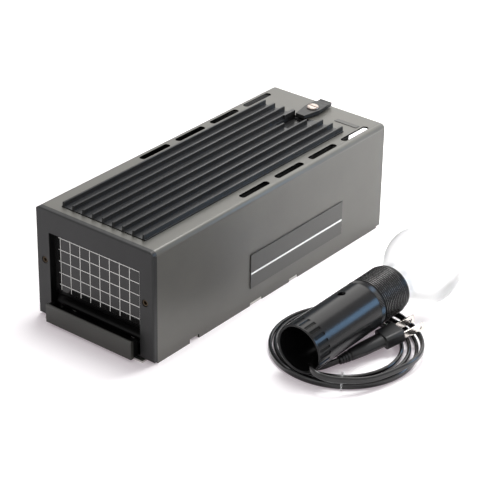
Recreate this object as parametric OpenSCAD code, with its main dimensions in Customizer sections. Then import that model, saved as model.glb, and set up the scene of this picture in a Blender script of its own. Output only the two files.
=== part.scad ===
// Head of a photographic enlarger, with its lamp holder taken out and lying beside it.
// The lamp shines forward through the long chamber on to a mirror at 45 degrees, which turns
// the light down through the round exit. The origin is the centre of that exit, on the underside.
// X runs across the head, Y from its front to its rear, and Z up.

/* [Cover] */
// Width over the sheet cover
body_w = 118; // [112:1:130]
// Height of the sheet cover
body_h = 95; // [92:1:110]
// Thickness of the cover's sheet
cover_t = 1.5; // [1:0.1:2]
// Outer radius of the cover's two top bends
cover_r = 4; // [2.5:0.5:6]
// Length of one vent slot in the top
vent_l = 34; // [20:1:38]
// Width of one vent slot
vent_w = 4.6; // [3:0.1:6]
// Distance from one vent slot's centre to the next
vent_pitch = 43.6; // [40:0.2:44]
// Distance of a row of vent slots from the side of the cover
vent_edge = 7.7; // [7:0.1:9]

/* [Chassis] */
// Distance from the cover's front edge to the centre of the light exit
exit_y = 50; // [48:1:53]
// Diameter of the light exit
exit_d = 76; // [60:1:78]
// Thickness of the base plate
base_t = 1.5; // [1:0.1:2]
// Length of the base plate's sill under the bezel
sill_l = 7; // [5.5:0.5:9]
// Width of the light chamber between its side walls
chamber_w = 92; // [91:0.5:94]
// Length of the light chamber
chamber_l = 246; // [240:1:275]
// Room in the cover behind the light chamber, for the lamp holder
rear_l = 34; // [30:1:50]
// Thickness of the chamber's sheet walls
wall_t = 1.2; // [0.8:0.1:1.5]
// Distance across the head between the four mounting holes
mount_x = 104; // [103:0.5:105]
// Distance along the head between the four mounting holes
mount_y = 60; // [40:1:66]
// Diameter of a mounting hole
mount_d = 4.5; // [3.4:0.1:5]

/* [Bezel and panel] */
// Thickness of the bezel in front of the cover
bezel_t = 4.5; // [3.5:0.1:6]
// Width of the bezel's opening
window_w = 91.2; // [88:0.1:91.4]
// Height of the opening's top edge
window_top = 76; // [70:1:80]
// Thickness of the grid panel
panel_t = 2; // [1.5:0.1:2.5]
// Depth of the grid panel's face behind the bezel's face
panel_depth = 6.5; // [5:0.1:7]
// Height of the front screws
screw_z = 50.8; // [40:0.2:60]
// Distance between the front screws
screw_gap = 101.4; // [100:0.2:104]

/* [Heat sink] */
// Number of fins
fins = 9; // [7:2:9]
// Distance from one fin to the next
fin_pitch = 10; // [8:0.5:10]
// Thickness of a fin at its root
fin_t = 2.2; // [1.6:0.1:3]
// Height of a fin over the deck
fin_h = 3.8; // [2:0.1:6]
// Height of the deck over the cover's top
deck_rise = 0.8; // [0.4:0.1:2]
// Thickness of the heat sink's wide plate under the cover
sink_t = 2.5; // [2:0.1:3.5]

/* [Filter drawer] */
// Width of the drawer's front lip
lip_w = 87.2; // [80:0.2:88]
// Height of the lip
lip_h = 15.7; // [12:0.1:17]
// Thickness of the lip
lip_t = 3; // [2:0.1:4]
// Distance of the lip's front from the bezel's face
lip_out = 8.3; // [7:0.1:10]
// Diameter of the tray's opening
tray_d = 74; // [60:1:76]
// Thickness of the tray's sheet
tray_t = 1.2; // [0.8:0.1:1.5]

/* [Optics] */
// Thickness of the mirror's glass
mirror_t = 3; // [2:0.1:4]
// Thickness of the heat glass
glass_t = 3; // [2:0.1:4]

/* [Lamp holder] */
// Outer diameter of the lamp holder's tube
tube_d = 40; // [36:0.5:42]
// Wall of the lamp holder's tube
tube_t = 2; // [1.5:0.1:2.5]
// Length of the tube
tube_l = 76; // [72:1:84]
// Length of the threaded socket shell
shell_l = 38; // [36:1:44]
// Diameter of the socket shell over its thread
shell_d = 39.6; // [38:0.1:39.8]
// Diameter of the lamp's bulb
bulb_d = 63; // [58:1:65]
// Radial clearance of the lamp holder in its collar
collar_gap = 0.2; // [0.1:0.05:0.4]
// Length of the collar's sleeve
collar_l = 28.5; // [24:0.5:30]

/* [Lead] */
// Width of the flat twin lead
lead_w = 5.2; // [4.6:0.1:5.2]
// Thickness of the flat twin lead
lead_t = 3.2; // [2.8:0.1:3.3]
// Number of turns of the coil
coil_turns = 3.4; // [3.4:0.1:3.4]

/* [Hidden] */
$fn = 64;
gap = 0.3;      // air between two pieces that don't touch
fit = 0.1;      // air round a screw in its hole
cut = 1;        // how far a cutting shape runs past the face that it cuts

front = -exit_y;
chamber_in = 5;
rear = front + chamber_in + chamber_l + rear_l;
half_w = body_w / 2;
inner_w = half_w - cover_t;
roof = body_h - cover_t;
axis_z = body_h - 40;

// Screws
m3 = 1.5;
m3_head = 2.7;
m3_head_h = 1.8;

// Chamber
wall_x = chamber_w / 2;
wall_out = wall_x + wall_t;
chamber_front = front + chamber_in;
chamber_rear = chamber_front + chamber_l;
lug_x = wall_x - 0.2;
lug_t = 1.4;
foot_w = inner_w - gap - base_t - 0.2 - wall_out;
sink_z = roof - gap - sink_t;
deck_z = body_h + deck_rise;
fin_top = deck_z + fin_h;
sink_leg = 9;
deck_x = (fins - 1) / 2 * fin_pitch + 1.7;
deck_front = front + 6.7;
fin_window_gap = 0.3;

// Rear well of the heat sink, where the lever's tip lies
well_x = 8;
well_y = chamber_rear - 26;
stub_y = chamber_rear - 14;
short_y = chamber_rear - 8.4;

// Vent slots
vent_y = rear - 161.7;
vent_x = half_w - vent_edge;

// Drawer
rail_z = 4.2;
rail_t = 1;
rail_web = 1.6;
tray_z = rail_z + rail_t + 0.4;
tray_x = window_w / 2 - 2.2;
rim_h = 1.7;
rim_t = 1.4;
tray_front = front + 4;
tray_rear = -tray_front - gap;
rail_front = chamber_front + 1.5;
rail_h = 0.4 + tray_t + rim_h + 0.3 + 2 * rail_t;
rail_in = tray_x - 2;
slot_bottom = 4;
slot_top = 11.8;
scoop_r = 6;
scoop_z = 18;
lip_front = front - bezel_t - lip_out;
lip_z = base_t + 1;
foot_front_x = tray_x - 2.9;
foot_t = 2.5;
foot_rear = -tray_d / 2 - 3;

// Panel
panel_y = front - bezel_t + panel_depth;
panel_z = 25;
panel_x = window_w / 2 + 1.9;
panel_top = window_top + 2;
bezel_z = base_t + gap;
bezel_back = chamber_front - 0.2;
bezel_edge = 1.5;
sleeve_t = 2;

// Mirror, lying at 45 degrees through the point where the lamp's axis meets the exit's axis
mirror_low = axis_z - 34;
mirror_high = sink_z - 3.5;
mirror_l = (mirror_high - mirror_low) * sqrt(2);
mirror_w = chamber_w - 8;
mirror_mid = ((mirror_high + mirror_low) / 2 - axis_z) * sqrt(2);
carrier_t = 1.2;
carrier_lug = 8;
carrier_w = 2 * (lug_x - lug_t - 0.4);
carrier_top_gap = 22;
carrier_holes = [-28, 16];

// Heat glass
filter_y = 52;
filter_w = 80;
filter_h = 2 * (sink_z - axis_z - 2.7);
filter_low = axis_z - filter_h / 2 - 2.5;
filter_hole_w = 74;
filter_hole_h = filter_h - 6;

// Collar
bore_r = tube_d / 2 + collar_gap;
sleeve_r = bore_r + 2.5;
lamp_hole = 66;
flange_x = 42;
flange_z = 34;
flange_t = 2.5;
flange_screw = [37, 29];
boss_r = 6.5;
boss_h = 5;
collar_y = chamber_rear;
stud_y = collar_y + 13.5;
stud_r = 3;
shoe_h = 2.6;
shoe_z = axis_z + bore_r + gap;
stud_low = shoe_z + shoe_h + gap;

// Lever
lever_t = 3;
washer_t = 1.2;
lever_z = body_h + washer_t + gap;
lever_top = lever_z + lever_t;
lever_tip = 17.5;
lever_tail = 18.5;

// Screws that pass sideways through the chamber's walls
rear_screws = [for (z = [24, 70]) [chamber_rear - 6, z]];
filter_screws = [for (z = [filter_low + 10, sink_z - sink_leg - 5.7]) [filter_y - 4, z]];
carrier_back = mirror_t + carrier_lug / 2;
carrier_screws = [for (u = carrier_holes) [u - carrier_back, u + carrier_back] / sqrt(2) + [0, axis_z]];
sink_screws = [for (y = [chamber_front + 10, 70, chamber_rear - 30]) [y, sink_z - sink_leg / 2]];
rail_screws = [for (y = [-30, 30]) [y, rail_z + rail_h / 2]];
wall_screw_places = concat(rear_screws, filter_screws, carrier_screws, sink_screws, rail_screws);
base_screw_y = [10 - mount_y / 2, 50, 120, chamber_rear - 14];
base_screw_x = wall_out + foot_w / 2 - 2;

// Label places on the cover
label_l = 119.3;
label_h = 30;
label_t = 0.8;
label_y = front + 169;
label_z = 31;
strip_l = 22;
strip_w = 4.8;
strip_t = 0.4;
strip_place = [34.5, chamber_rear + 14.5];

// Lamp holder, whose own axis starts at the middle of its mouth
lamp_place_at = [151.9, -0.3, 25.6];
lamp_yaw = 1.4;
bulb_t = tube_l + shell_l + 42;
lamp_pitch = asin((bulb_d / 2 - lamp_place_at.z) / bulb_t);
ring_l = 4.5;
thread_l = 28;
thread_pitch = 2;
thread_h = 0.6;
rim_r = 3.4;
grip_l = 12;
flutes = 24;
dome_t = 66;
dome_wall = 3;
nipple_t = 60;
core_t = tube_l + 3;
cap_r = 13.2;
cap_t = core_t + 6;
cap_l = 24;
neck_r = 14;
glass_wall = 1.2;

// Lead: the coil is one spiral, whose turns drift apart towards the right
coil_mid = [154.2, 56.7];
coil_r = 58.3;
coil_step = 4.8;
coil_drift = 1.1;
coil_start = 110;
coil_rings = 24;
coil_z = lead_w / 2;

// Points of the tail, from the nipple through the tube's mouth, over the coil and down beside it
tail_points = [
    [153.4, 59.3, 27.9], [153.3, 48, 27], [154, 36, 22], [155.5, 24, 16.5], [158.5, 12, 15],
    [163, 2.5, 17], [168.5, -5, 17.5], [176, -6, 16], [183.5, -1, 13.5], [190.5, 7, 11.5],
    [197, 16.5, 9.5], [202.3, 27, 8.5], [206, 38.5, 8.2], [208.6, 50.5, 8.1], [210.2, 63, 8.1],
    [208.9, 75.5, 8.1], [203.8, 86.5, 8.1], [196, 95.8, 8.1], [186.4, 103, 8.1],
    [175.5, 108.6, 8], [164, 112.6, 7.9], [153, 115.3, 5.9], [143.5, 115.5, 3.4],
    [138.8, 113.9, 2.6], [134.3, 111.5, 2.6]
];

// Points of the end, from the end of the coil to the plug
end_points = [
    [147, 15.4, 2.6], [152.3, 16.9, 2.6], [156.5, 20, 2.7], [159.3, 24.6, 3],
    [161.3, 30.3, 3.3]
];

// Plug
plug_at = [166.5, 45, 5.2];
plug_yaw = 19.5;
plug_pitch = 9;
plug_way = [sin(plug_yaw) * cos(plug_pitch), cos(plug_yaw) * cos(plug_pitch), sin(plug_pitch)];
relief_l = 10;
plug_l = 45;
plug_w = 16;
plug_h = 10.5;
head_l = 8.5;
blade_l = 19;
blade_w = 6.3;
blade_t = 1.5;
blade_gap = 12.7;

// Shared shapes

// A box between two corners
module span_box(low, high) {
    translate(low)
        cube(high - low);
}

// A cylinder along X from x = 0
module rod_x(r, l) {
    rotate([0, 90, 0])
        cylinder(r = r, h = l);
}

// A cylinder along Y from y = 0
module rod_y(r, l) {
    rotate([-90, 0, 0])
        cylinder(r = r, h = l);
}

// A slab with round corners along Z, centred, twice size.z thick
module round_slab(size, r) {
    cube([size.x, size.y - 2 * r, 2 * size.z], center = true);
    cube([size.x - 2 * r, size.y, 2 * size.z], center = true);
    for (x = [-1, 1], y = [-1, 1])
        translate([x * (size.x / 2 - r), y * (size.y / 2 - r), -size.z])
            cylinder(r = r, h = 2 * size.z);
}

// A slot with round ends along Y, centred, cutting both ways along Z
module slot_cut(l, w, h) {
    cube([w, l - w, 2 * h], center = true);
    for (y = [-1, 1])
        translate([0, y * (l - w) / 2, -h])
            cylinder(d = w, h = 2 * h);
}

// The outline of the cover's section, with its two round top corners
module arch(half, low, high, r) {
    translate([-half, low])
        square([2 * half, high - r - low]);
    translate([r - half, low])
        square([2 * (half - r), high - low]);
    for (x = [-1, 1])
        translate([x * (half - r), high - r])
            circle(r = r);
}

// A profile in X and Z, drawn out along Y between two places
module along_y(from, to) {
    translate([0, to, 0])
        rotate([90, 0, 0])
            linear_extrude(to - from)
                children();
}

// A screw with a flat round head, its head's underside at the origin and its shank along +Z
module cap_screw(shank) {
    translate([0, 0, -m3_head_h])
        cylinder(r = m3_head, h = m3_head_h);
    cylinder(r = m3, h = shank);
}

// Places of the screws that pass sideways through one wall; side is -1 or 1
module wall_holes(side, places) {
    for (p = places)
        translate([side * (wall_out + cut), p.x, p.y])
            rotate([0, -90 * side, 0])
                cylinder(r = m3 + fit, h = wall_t + 12);
}

// Housing

module cover_shell() {
    color([0.36, 0.35, 0.33])
        difference() {
            along_y(front, rear)
                difference() {
                    arch(half_w, 0, body_h, cover_r);
                    translate([0, -cut])
                        arch(inner_w, 0, roof + cut, cover_r - cover_t);
                }
            // Window of the heat sink
            translate([0, (deck_front + chamber_rear) / 2, body_h])
                round_slab([
                    2 * (deck_x + fin_window_gap),
                    chamber_rear - deck_front + 2 * fin_window_gap,
                    cover_t + cut
                ], 0.5);
            for (x = [-1, 1], i = [0:3])
                translate([x * vent_x, vent_y + i * vent_pitch, body_h])
                    slot_cut(vent_l, vent_w, cover_t + cut);
            translate([0, stud_y, roof - cut])
                cylinder(r = stud_r + 0.6, h = cover_t + 2 * cut);
            for (x = [-1, 1]) {
                edge_notch(x, front + 37, front + 48, 3.5);
                edge_notch(x, front + 110, front + 125, 2.6);
                edge_notch(x, front + 160, front + 171, 2.6);
                edge_notch(x, rear - 5, rear + cut, 1.5);
            }
        }
}

// A notch in the cover's lower edge
module edge_notch(side, from, to, h) {
    span_box([side * half_w - 2 * cover_t, from, -cut], [side * half_w + 2 * cover_t, to, h]);
}

// The outline of a slab's section, its depth along the first axis, with round front corners
module eased(from, to, low, high) {
    translate([from + bezel_edge, low])
        square([to - from - bezel_edge, high - low]);
    translate([from, low + bezel_edge])
        square([2 * bezel_edge, high - low - 2 * bezel_edge]);
    for (z = [low + bezel_edge, high - bezel_edge])
        translate([from + bezel_edge, z])
            circle(r = bezel_edge);
}

// The bezel's front plate, with its front edges rounded
module bezel_plate() {
    intersection() {
        along_y(front - bezel_t, front)
            arch(half_w, bezel_z, body_h, cover_r);
        translate([-half_w - cut, 0, 0])
            rotate([90, 0, 90])
                linear_extrude(body_w + 2 * cut)
                    eased(front - bezel_t, front, bezel_z, body_h);
        rotate([0, 0, 90])
            linear_extrude(body_h + cut)
                eased(front - bezel_t, front, -half_w, half_w);
    }
}

module front_bezel() {
    y0 = front - bezel_t;
    color([0.16, 0.16, 0.16])
        difference() {
            union() {
                bezel_plate();
                // Sleeve inside the cover
                along_y(front, bezel_back)
                    difference() {
                        arch(inner_w - gap, bezel_z + 1, roof - gap, cover_r - cover_t);
                        arch(inner_w - gap - sleeve_t, bezel_z + 1 + sleeve_t, roof - gap - sleeve_t, 1);
                    }
                // Frame round the panel
                span_box([-panel_x - 2, front - cut, bezel_z + 1], [panel_x + 2, bezel_back, panel_top + 3]);
                for (x = [-1, 1])
                    translate([x * screw_gap / 2, front - cut, screw_z])
                        rod_y(5, bezel_back - front + cut);
            }
            // Opening for the panel and the drawer
            span_box([-window_w / 2, y0 - cut, slot_top], [window_w / 2, panel_y + 0.05, window_top]);
            span_box([-window_w / 2, y0 - cut, slot_bottom], [window_w / 2, bezel_back + cut, slot_top]);
            // Seat of the panel
            span_box([-panel_x - 0.1, panel_y, panel_z - 0.4], [panel_x + 0.1, bezel_back + cut, panel_top + 0.1]);
            // Finger scoop under the panel
            translate([-window_w / 2, bezel_back - 1.2 - scoop_r, scoop_z])
                rod_x(scoop_r, window_w);
            for (x = [-1, 1])
                translate([x * screw_gap / 2, y0 - cut, screw_z]) {
                    rod_y(m3 + fit, bezel_t + 10);
                    rod_y(m3_head + 0.3, cut + m3_head_h + 0.5);
                }
        }
}

module grid_panel() {
    color([0.02, 0.02, 0.02])
        span_box([-panel_x, panel_y, panel_z - 0.3], [panel_x, panel_y + panel_t, panel_top]);
}

module front_screws() {
    color([0.06, 0.06, 0.06])
        for (x = [-1, 1])
            translate([x * screw_gap / 2, front - bezel_t + m3_head_h + 0.5, screw_z])
                rotate([-90, 0, 0])
                    cap_screw(14);
}

// Section of the ribbed deck, as it is drawn through its die
module deck_section() {
    translate([-deck_x, roof - gap - cut])
        square([2 * deck_x, deck_z - roof + gap + cut]);
    for (i = [0:fins - 1])
        translate([(i - (fins - 1) / 2) * fin_pitch, 0])
            polygon([
                [-fin_t / 2, deck_z - cut],
                [fin_t / 2, deck_z - cut],
                [fin_t / 2 - 0.25, fin_top - 0.3],
                [fin_t / 2 - 0.55, fin_top],
                [0.55 - fin_t / 2, fin_top],
                [0.25 - fin_t / 2, fin_top - 0.3]
            ]);
}

module heat_sink() {
    color([0.05, 0.05, 0.05])
        difference() {
            union() {
                span_box([-wall_out, chamber_front + 0.3, sink_z], [wall_out, chamber_rear, sink_z + sink_t]);
                for (x = [-1, 1])
                    translate([x * (lug_x - lug_t / 2), 0, 0])
                        span_box(
                            [-lug_t / 2, chamber_front + 2, sink_z - sink_leg],
                            [lug_t / 2, chamber_rear - 16, sink_z + cut]
                        );
                difference() {
                    along_y(deck_front, chamber_rear)
                        deck_section();
                    // Well in the deck, with its two fins cut short
                    span_box([-well_x, well_y, sink_z + 1.3], [well_x, chamber_rear + cut, fin_top + cut]);
                    span_box([-fin_pitch - 2, stub_y, deck_z], [-well_x, chamber_rear + cut, fin_top + cut]);
                    span_box([well_x - cut, short_y, deck_z], [fin_pitch + 2, chamber_rear + cut, fin_top + cut]);
                }
                // Stop of the lever's tip
                span_box([-well_x - 3, stub_y, sink_z + cut], [-well_x, chamber_rear, fin_top]);
            }
            for (x = [-1, 1])
                wall_holes(x, sink_screws);
            span_box([-well_x, well_y, sink_z + 1.3], [well_x, chamber_rear + cut, sink_z + sink_t + cut]);
        }
}

module base_plate() {
    edge = inner_w - gap;
    color([0.55, 0.55, 0.54])
        difference() {
            union() {
                span_box([-edge, front + 1, 0], [edge, rear - 1, base_t]);
                span_box([-50, front - sill_l, 0], [50, front + 2, base_t]);
                for (x = [-1, 1]) {
                    translate([x * (edge - base_t / 2), 0, 0])
                        span_box([-base_t / 2, chamber_front + 3, 0], [base_t / 2, rear - 6, 9]);
                    // Hooks in the cover's lower slots
                    hook(x, front + 110.5, front + 124.5);
                    hook(x, front + 160.5, front + 170.5);
                }
            }
            translate([0, 0, -cut])
                cylinder(d = exit_d, h = base_t + 2 * cut);
            for (x = [-1, 1], y = [-1, 1])
                translate([x * mount_x / 2, y * mount_y / 2, -cut])
                    cylinder(d = mount_d, h = base_t + 2 * cut);
            for (x = [-1, 1]) {
                span_box([x * edge - 2.4, front + 37, -cut], [x * edge + 2.4, front + 48, 3.5]);
                for (y = base_screw_y)
                    translate([x * base_screw_x, y, 0])
                        countersink(fit);
            }
        }
}

module hook(side, from, to) {
    span_box([side * (inner_w + 0.45) - 0.85, from, 0.3], [side * (inner_w + 0.45) + 0.85, to, 2.3]);
}

// The body of a countersunk screw from below, wider by more
module countersink(more) {
    translate([0, 0, -0.001])
        cylinder(r1 = m3_head + more, r2 = m3 + more, h = 1.3);
    cylinder(r = m3 + more, h = 5);
}

module base_screws() {
    color([0.6, 0.6, 0.6])
        for (x = [-1, 1], y = base_screw_y)
            translate([x * base_screw_x, y, 0.1]) {
                cylinder(r1 = m3_head, r2 = m3, h = 1.3);
                cylinder(r = m3, h = 4.4);
            }
}

// A wall of the light chamber, with its foot and its front flange
module side_wall(side) {
    color([0.1, 0.1, 0.1])
        difference() {
            union() {
                translate([side * (wall_x + wall_t / 2), 0, 0])
                    span_box([-wall_t / 2, chamber_front, base_t], [wall_t / 2, chamber_rear, sink_z]);
                translate([side * (wall_x + (wall_t + foot_w) / 2), 0, 0]) {
                    span_box(
                        [-(wall_t + foot_w) / 2, chamber_front + 4, base_t],
                        [(wall_t + foot_w) / 2, chamber_rear, base_t + wall_t]
                    );
                    span_box(
                        [-(wall_t + foot_w) / 2, chamber_front, 12],
                        [(wall_t + foot_w) / 2, chamber_front + wall_t, 78]
                    );
                }
            }
            wall_holes(side, wall_screw_places);
            for (y = [-1, 1])
                translate([side * mount_x / 2, y * mount_y / 2, 0])
                    cylinder(d = mount_d + 3, h = 8);
            for (y = base_screw_y)
                translate([side * base_screw_x, y, 0])
                    cylinder(r = m3 + fit, h = 8);
            translate([side * screw_gap / 2, chamber_front - cut, screw_z])
                rod_y(m3 + fit, wall_t + 2 * cut);
        }
}

module side_wall_left() {
    side_wall(-1);
}

module side_wall_right() {
    side_wall(1);
}

// Screws through both side walls into the pieces between them
module wall_screws() {
    color([0.6, 0.6, 0.6])
        for (side = [-1, 1], p = wall_screw_places)
            translate([side * wall_out, p.x, p.y])
                rotate([0, -90 * side, 0])
                    cap_screw(wall_t + 0.2 + lug_t + 1);
}

// Two lugs turned forward from a cross wall, along its two edges
module cross_lugs(from, to, low, high) {
    for (x = [-1, 1])
        translate([x * (lug_x - lug_t / 2), 0, 0])
            span_box([-lug_t / 2, from, low], [lug_t / 2, to, high]);
}

module rear_wall() {
    color([0.12, 0.12, 0.12])
        difference() {
            union() {
                span_box([-lug_x, chamber_rear - wall_t, base_t], [lug_x, chamber_rear, sink_z - 0.2]);
                cross_lugs(chamber_rear - 12, chamber_rear, base_t, sink_z - 0.2);
            }
            translate([0, chamber_rear - 2 * wall_t, axis_z])
                rod_y(lamp_hole / 2, 4 * wall_t);
            for (x = [-1, 1]) {
                wall_holes(x, rear_screws);
                for (z = [-1, 1])
                    translate([x * flange_screw.x, chamber_rear - 5, axis_z + z * flange_screw.y])
                        rod_y(m3 + fit, 10);
            }
        }
}

module lamp_collar() {
    color([0.08, 0.08, 0.08])
        difference() {
            union() {
                translate([0, collar_y + flange_t / 2, axis_z])
                    rotate([90, 0, 0])
                        round_slab([2 * flange_x, 2 * flange_z, flange_t / 2], 5);
                translate([0, collar_y, axis_z])
                    rod_y(sleeve_r, collar_l);
                translate([0, stud_y, axis_z])
                    cylinder(r = boss_r, h = sleeve_r + boss_h);
                // Web from the flange to the sleeve's boss
                span_box([-1.5, collar_y, axis_z + sleeve_r - 1], [1.5, stud_y, axis_z + sleeve_r + boss_h]);
            }
            translate([0, collar_y - cut, axis_z])
                rod_y(bore_r, collar_l + 2 * cut);
            translate([0, stud_y, axis_z])
                cylinder(r = stud_r + fit, h = sleeve_r + boss_h + cut);
            for (x = [-1, 1], z = [-1, 1])
                translate([x * flange_screw.x, collar_y - cut, axis_z + z * flange_screw.y])
                    rod_y(m3 + fit, flange_t + 2 * cut);
        }
}

module collar_screws() {
    color([0.6, 0.6, 0.6])
        for (x = [-1, 1], z = [-1, 1])
            translate([x * flange_screw.x, collar_y + flange_t, axis_z + z * flange_screw.y])
                rotate([90, 0, 0])
                    cap_screw(7);
}

module clamp_shoe() {
    color([0.7, 0.6, 0.35])
        difference() {
            translate([0, stud_y, shoe_z - 0.2])
                cylinder(r = stud_r - 0.1, h = shoe_h + 0.2);
            // Hollowed to the lamp holder's round
            translate([0, stud_y - 5, axis_z])
                rod_y(bore_r + 0.1, 10);
        }
}

module lever_washer() {
    color([0.75, 0.72, 0.68])
        translate([0, stud_y, body_h])
            difference() {
                cylinder(r = 6.5, h = washer_t);
                translate([0, 0, -cut])
                    cylinder(r = stud_r + 0.3, h = washer_t + 2 * cut);
            }
}

// Lever, with its narrow tip forward and its tail to the rear
module clamp_lever() {
    color([0.07, 0.07, 0.07])
        difference() {
            translate([0, stud_y, lever_z])
                linear_extrude(lever_t)
                    difference() {
                        union() {
                            circle(r = 7.5);
                            polygon([
                                [-4.3, -lever_tip], [4.3, -lever_tip],
                                [7.2, -2], [7.4, 2],
                                [5.8, lever_tail], [-5.8, lever_tail],
                                [-7.4, 2], [-7.2, -2]
                            ]);
                        }
                        circle(r = 2 + fit);
                    }
            // Grip hollow at the tail
            translate([-10, stud_y + lever_tail - 3, lever_top + 8.5])
                rod_x(9, 20);
        }
}

module lever_screw() {
    color([0.8, 0.76, 0.72])
        translate([0, stud_y, lever_top])
            difference() {
                union() {
                    cylinder(r = 5, h = 1);
                    translate([0, 0, 1])
                        cylinder(r1 = 5, r2 = 4.2, h = 0.7);
                    translate([0, 0, -lever_t - 6])
                        cylinder(r = 2, h = lever_t + 6.5);
                }
                // Driver slot
                translate([-6, -0.6, 0.9])
                    cube([12, 1.2, 2]);
            }
}

module clamp_stud() {
    color([0.6, 0.6, 0.6])
        translate([0, stud_y, 0])
            difference() {
                translate([0, 0, stud_low])
                    cylinder(r = stud_r, h = lever_z - stud_low);
                translate([0, 0, lever_z - 7])
                    cylinder(r = 2 + fit, h = 8);
            }
}

// Puts the children in the mirror's plane: their X is across, their Y up the slope,
// and their Z out of the reflecting face
module mirror_plane() {
    translate([0, 0, axis_z])
        rotate([45, 0, 0])
            translate([0, mirror_mid, 0])
                mirror([0, 0, 1])
                    children();
}

module mirror_glass() {
    color([0.8, 0.82, 0.84])
        mirror_plane()
            translate([-mirror_w / 2, -mirror_l / 2, -mirror_t])
                cube([mirror_w, mirror_l, mirror_t]);
}

module mirror_carrier() {
    color([0.12, 0.12, 0.12])
        difference() {
            mirror_plane()
                translate([0, 0, -mirror_t - carrier_t]) {
                    translate([-carrier_w / 2, -mirror_l / 2, 0])
                        cube([carrier_w, mirror_l, carrier_t]);
                    for (x = [-1, 1])
                        translate([x * (lug_x - lug_t / 2 - 0.4) - lug_t / 2 - 0.4, 12 - mirror_l / 2, 0]) {
                            cube([lug_t + 0.8, mirror_l - 12 - carrier_top_gap, carrier_t]);
                            translate([x > 0 ? 0.8 : 0, 0, -carrier_lug])
                                cube([lug_t, mirror_l - 12 - carrier_top_gap, carrier_lug + carrier_t]);
                        }
                }
            for (x = [-1, 1])
                wall_holes(x, carrier_screws);
        }
}

// Four clips that hold the mirror down on its carrier
module mirror_clips() {
    color([0.7, 0.7, 0.7])
        for (x = [-1, 1], y = [-1, 1])
            mirror_plane()
                translate([x * (mirror_w / 2), y * mirror_l * 0.32, 0]) {
                    translate([x > 0 ? -4 : -1.1, -5, 0])
                        cube([5.1, 10, 0.6]);
                    translate([x > 0 ? 0.3 : -1.1, -5, -mirror_t])
                        cube([0.8, 10, mirror_t + 0.6]);
                }
}

module heat_glass() {
    color([0.75, 0.9, 0.88, 0.6])
        span_box(
            [-filter_w / 2, filter_y, axis_z - filter_h / 2],
            [filter_w / 2, filter_y + glass_t, axis_z + filter_h / 2]
        );
}

module heat_glass_frame() {
    color([0.12, 0.12, 0.12])
        difference() {
            union() {
                span_box([-lug_x, filter_y - wall_t, filter_low], [lug_x, filter_y, sink_z - 0.5]);
                cross_lugs(filter_y - 9, filter_y, filter_low, sink_z - sink_leg - 0.5);
                // Ledge under the glass
                span_box(
                    [-filter_w / 2, filter_y - cut, axis_z - filter_h / 2 - 1.2],
                    [filter_w / 2, filter_y + glass_t + 1, axis_z - filter_h / 2]
                );
            }
            span_box(
                [-filter_hole_w / 2, filter_y - 5, axis_z - filter_hole_h / 2],
                [filter_hole_w / 2, filter_y + cut, axis_z + filter_hole_h / 2]
            );
            for (x = [-1, 1])
                wall_holes(x, filter_screws);
            // Room for the heat sink's legs
            for (x = [-1, 1])
                translate([x * (lug_x - 1), 0, 0])
                    span_box([-2, filter_y - 12, sink_z - sink_leg - 0.5], [2, filter_y + 2, sink_z]);
        }
}

// Springs that press the heat glass on its frame
module heat_glass_springs() {
    y = filter_y + glass_t;
    color([0.75, 0.75, 0.75])
        for (x = [-1, 1])
            translate([x * (filter_w / 2 + 0.9), 0, axis_z]) {
                span_box([-0.4, filter_y, -6], [0.4, y + 0.6, 6]);
                translate([x > 0 ? -4.6 : 0, 0, 0])
                    span_box([-0.4, y, -6], [5, y + 0.6, 6]);
            }
}

// Filter drawer

// A channel on one side wall, open towards the middle, in which the tray's edge slides
module drawer_rail(side) {
    color([0.3, 0.3, 0.3])
        difference() {
            mirror([side > 0 ? 0 : 1, 0, 0])
                difference() {
                    span_box([rail_in, rail_front, rail_z], [wall_x, tray_rear + 3, rail_z + rail_h]);
                    span_box(
                        [rail_in - cut, rail_front - cut, rail_z + rail_t],
                        [wall_x - rail_web, tray_rear + 4, rail_z + rail_h - rail_t]
                    );
                }
            wall_holes(side, rail_screws);
        }
}

module drawer_rail_left() {
    drawer_rail(-1);
}

module drawer_rail_right() {
    drawer_rail(1);
}

// Bar across the rails' rear ends, where the tray stops
module drawer_stop() {
    color([0.3, 0.3, 0.3])
        span_box([-wall_x + 2, tray_rear + 3.2, base_t], [wall_x - 2, tray_rear + 4.4, rail_z + rail_h]);
}

module drawer_tray() {
    color([0.12, 0.12, 0.12])
        difference() {
            span_box([-tray_x, tray_front, tray_z], [tray_x, tray_rear + 2.9, tray_z + tray_t + rim_h]);
            // Pocket of the filter
            span_box(
                [-tray_x + rim_t, foot_rear - 0.2, tray_z + tray_t],
                [tray_x - rim_t, tray_rear + 1.5, tray_z + tray_t + rim_h + cut]
            );
            // Step under the lip's foot
            span_box(
                [-tray_x - cut, tray_front - cut, tray_z + tray_t],
                [tray_x + cut, foot_rear - 0.1, tray_z + tray_t + rim_h + cut]
            );
            translate([0, 0, tray_z - cut])
                cylinder(d = tray_d, h = tray_t + 2 * cut);
            for (x = [-1, 1])
                translate([x * 30, tray_front + 2.8, tray_z - cut])
                    cylinder(r = m3 + fit, h = tray_t + 2 * cut);
        }
}

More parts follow.
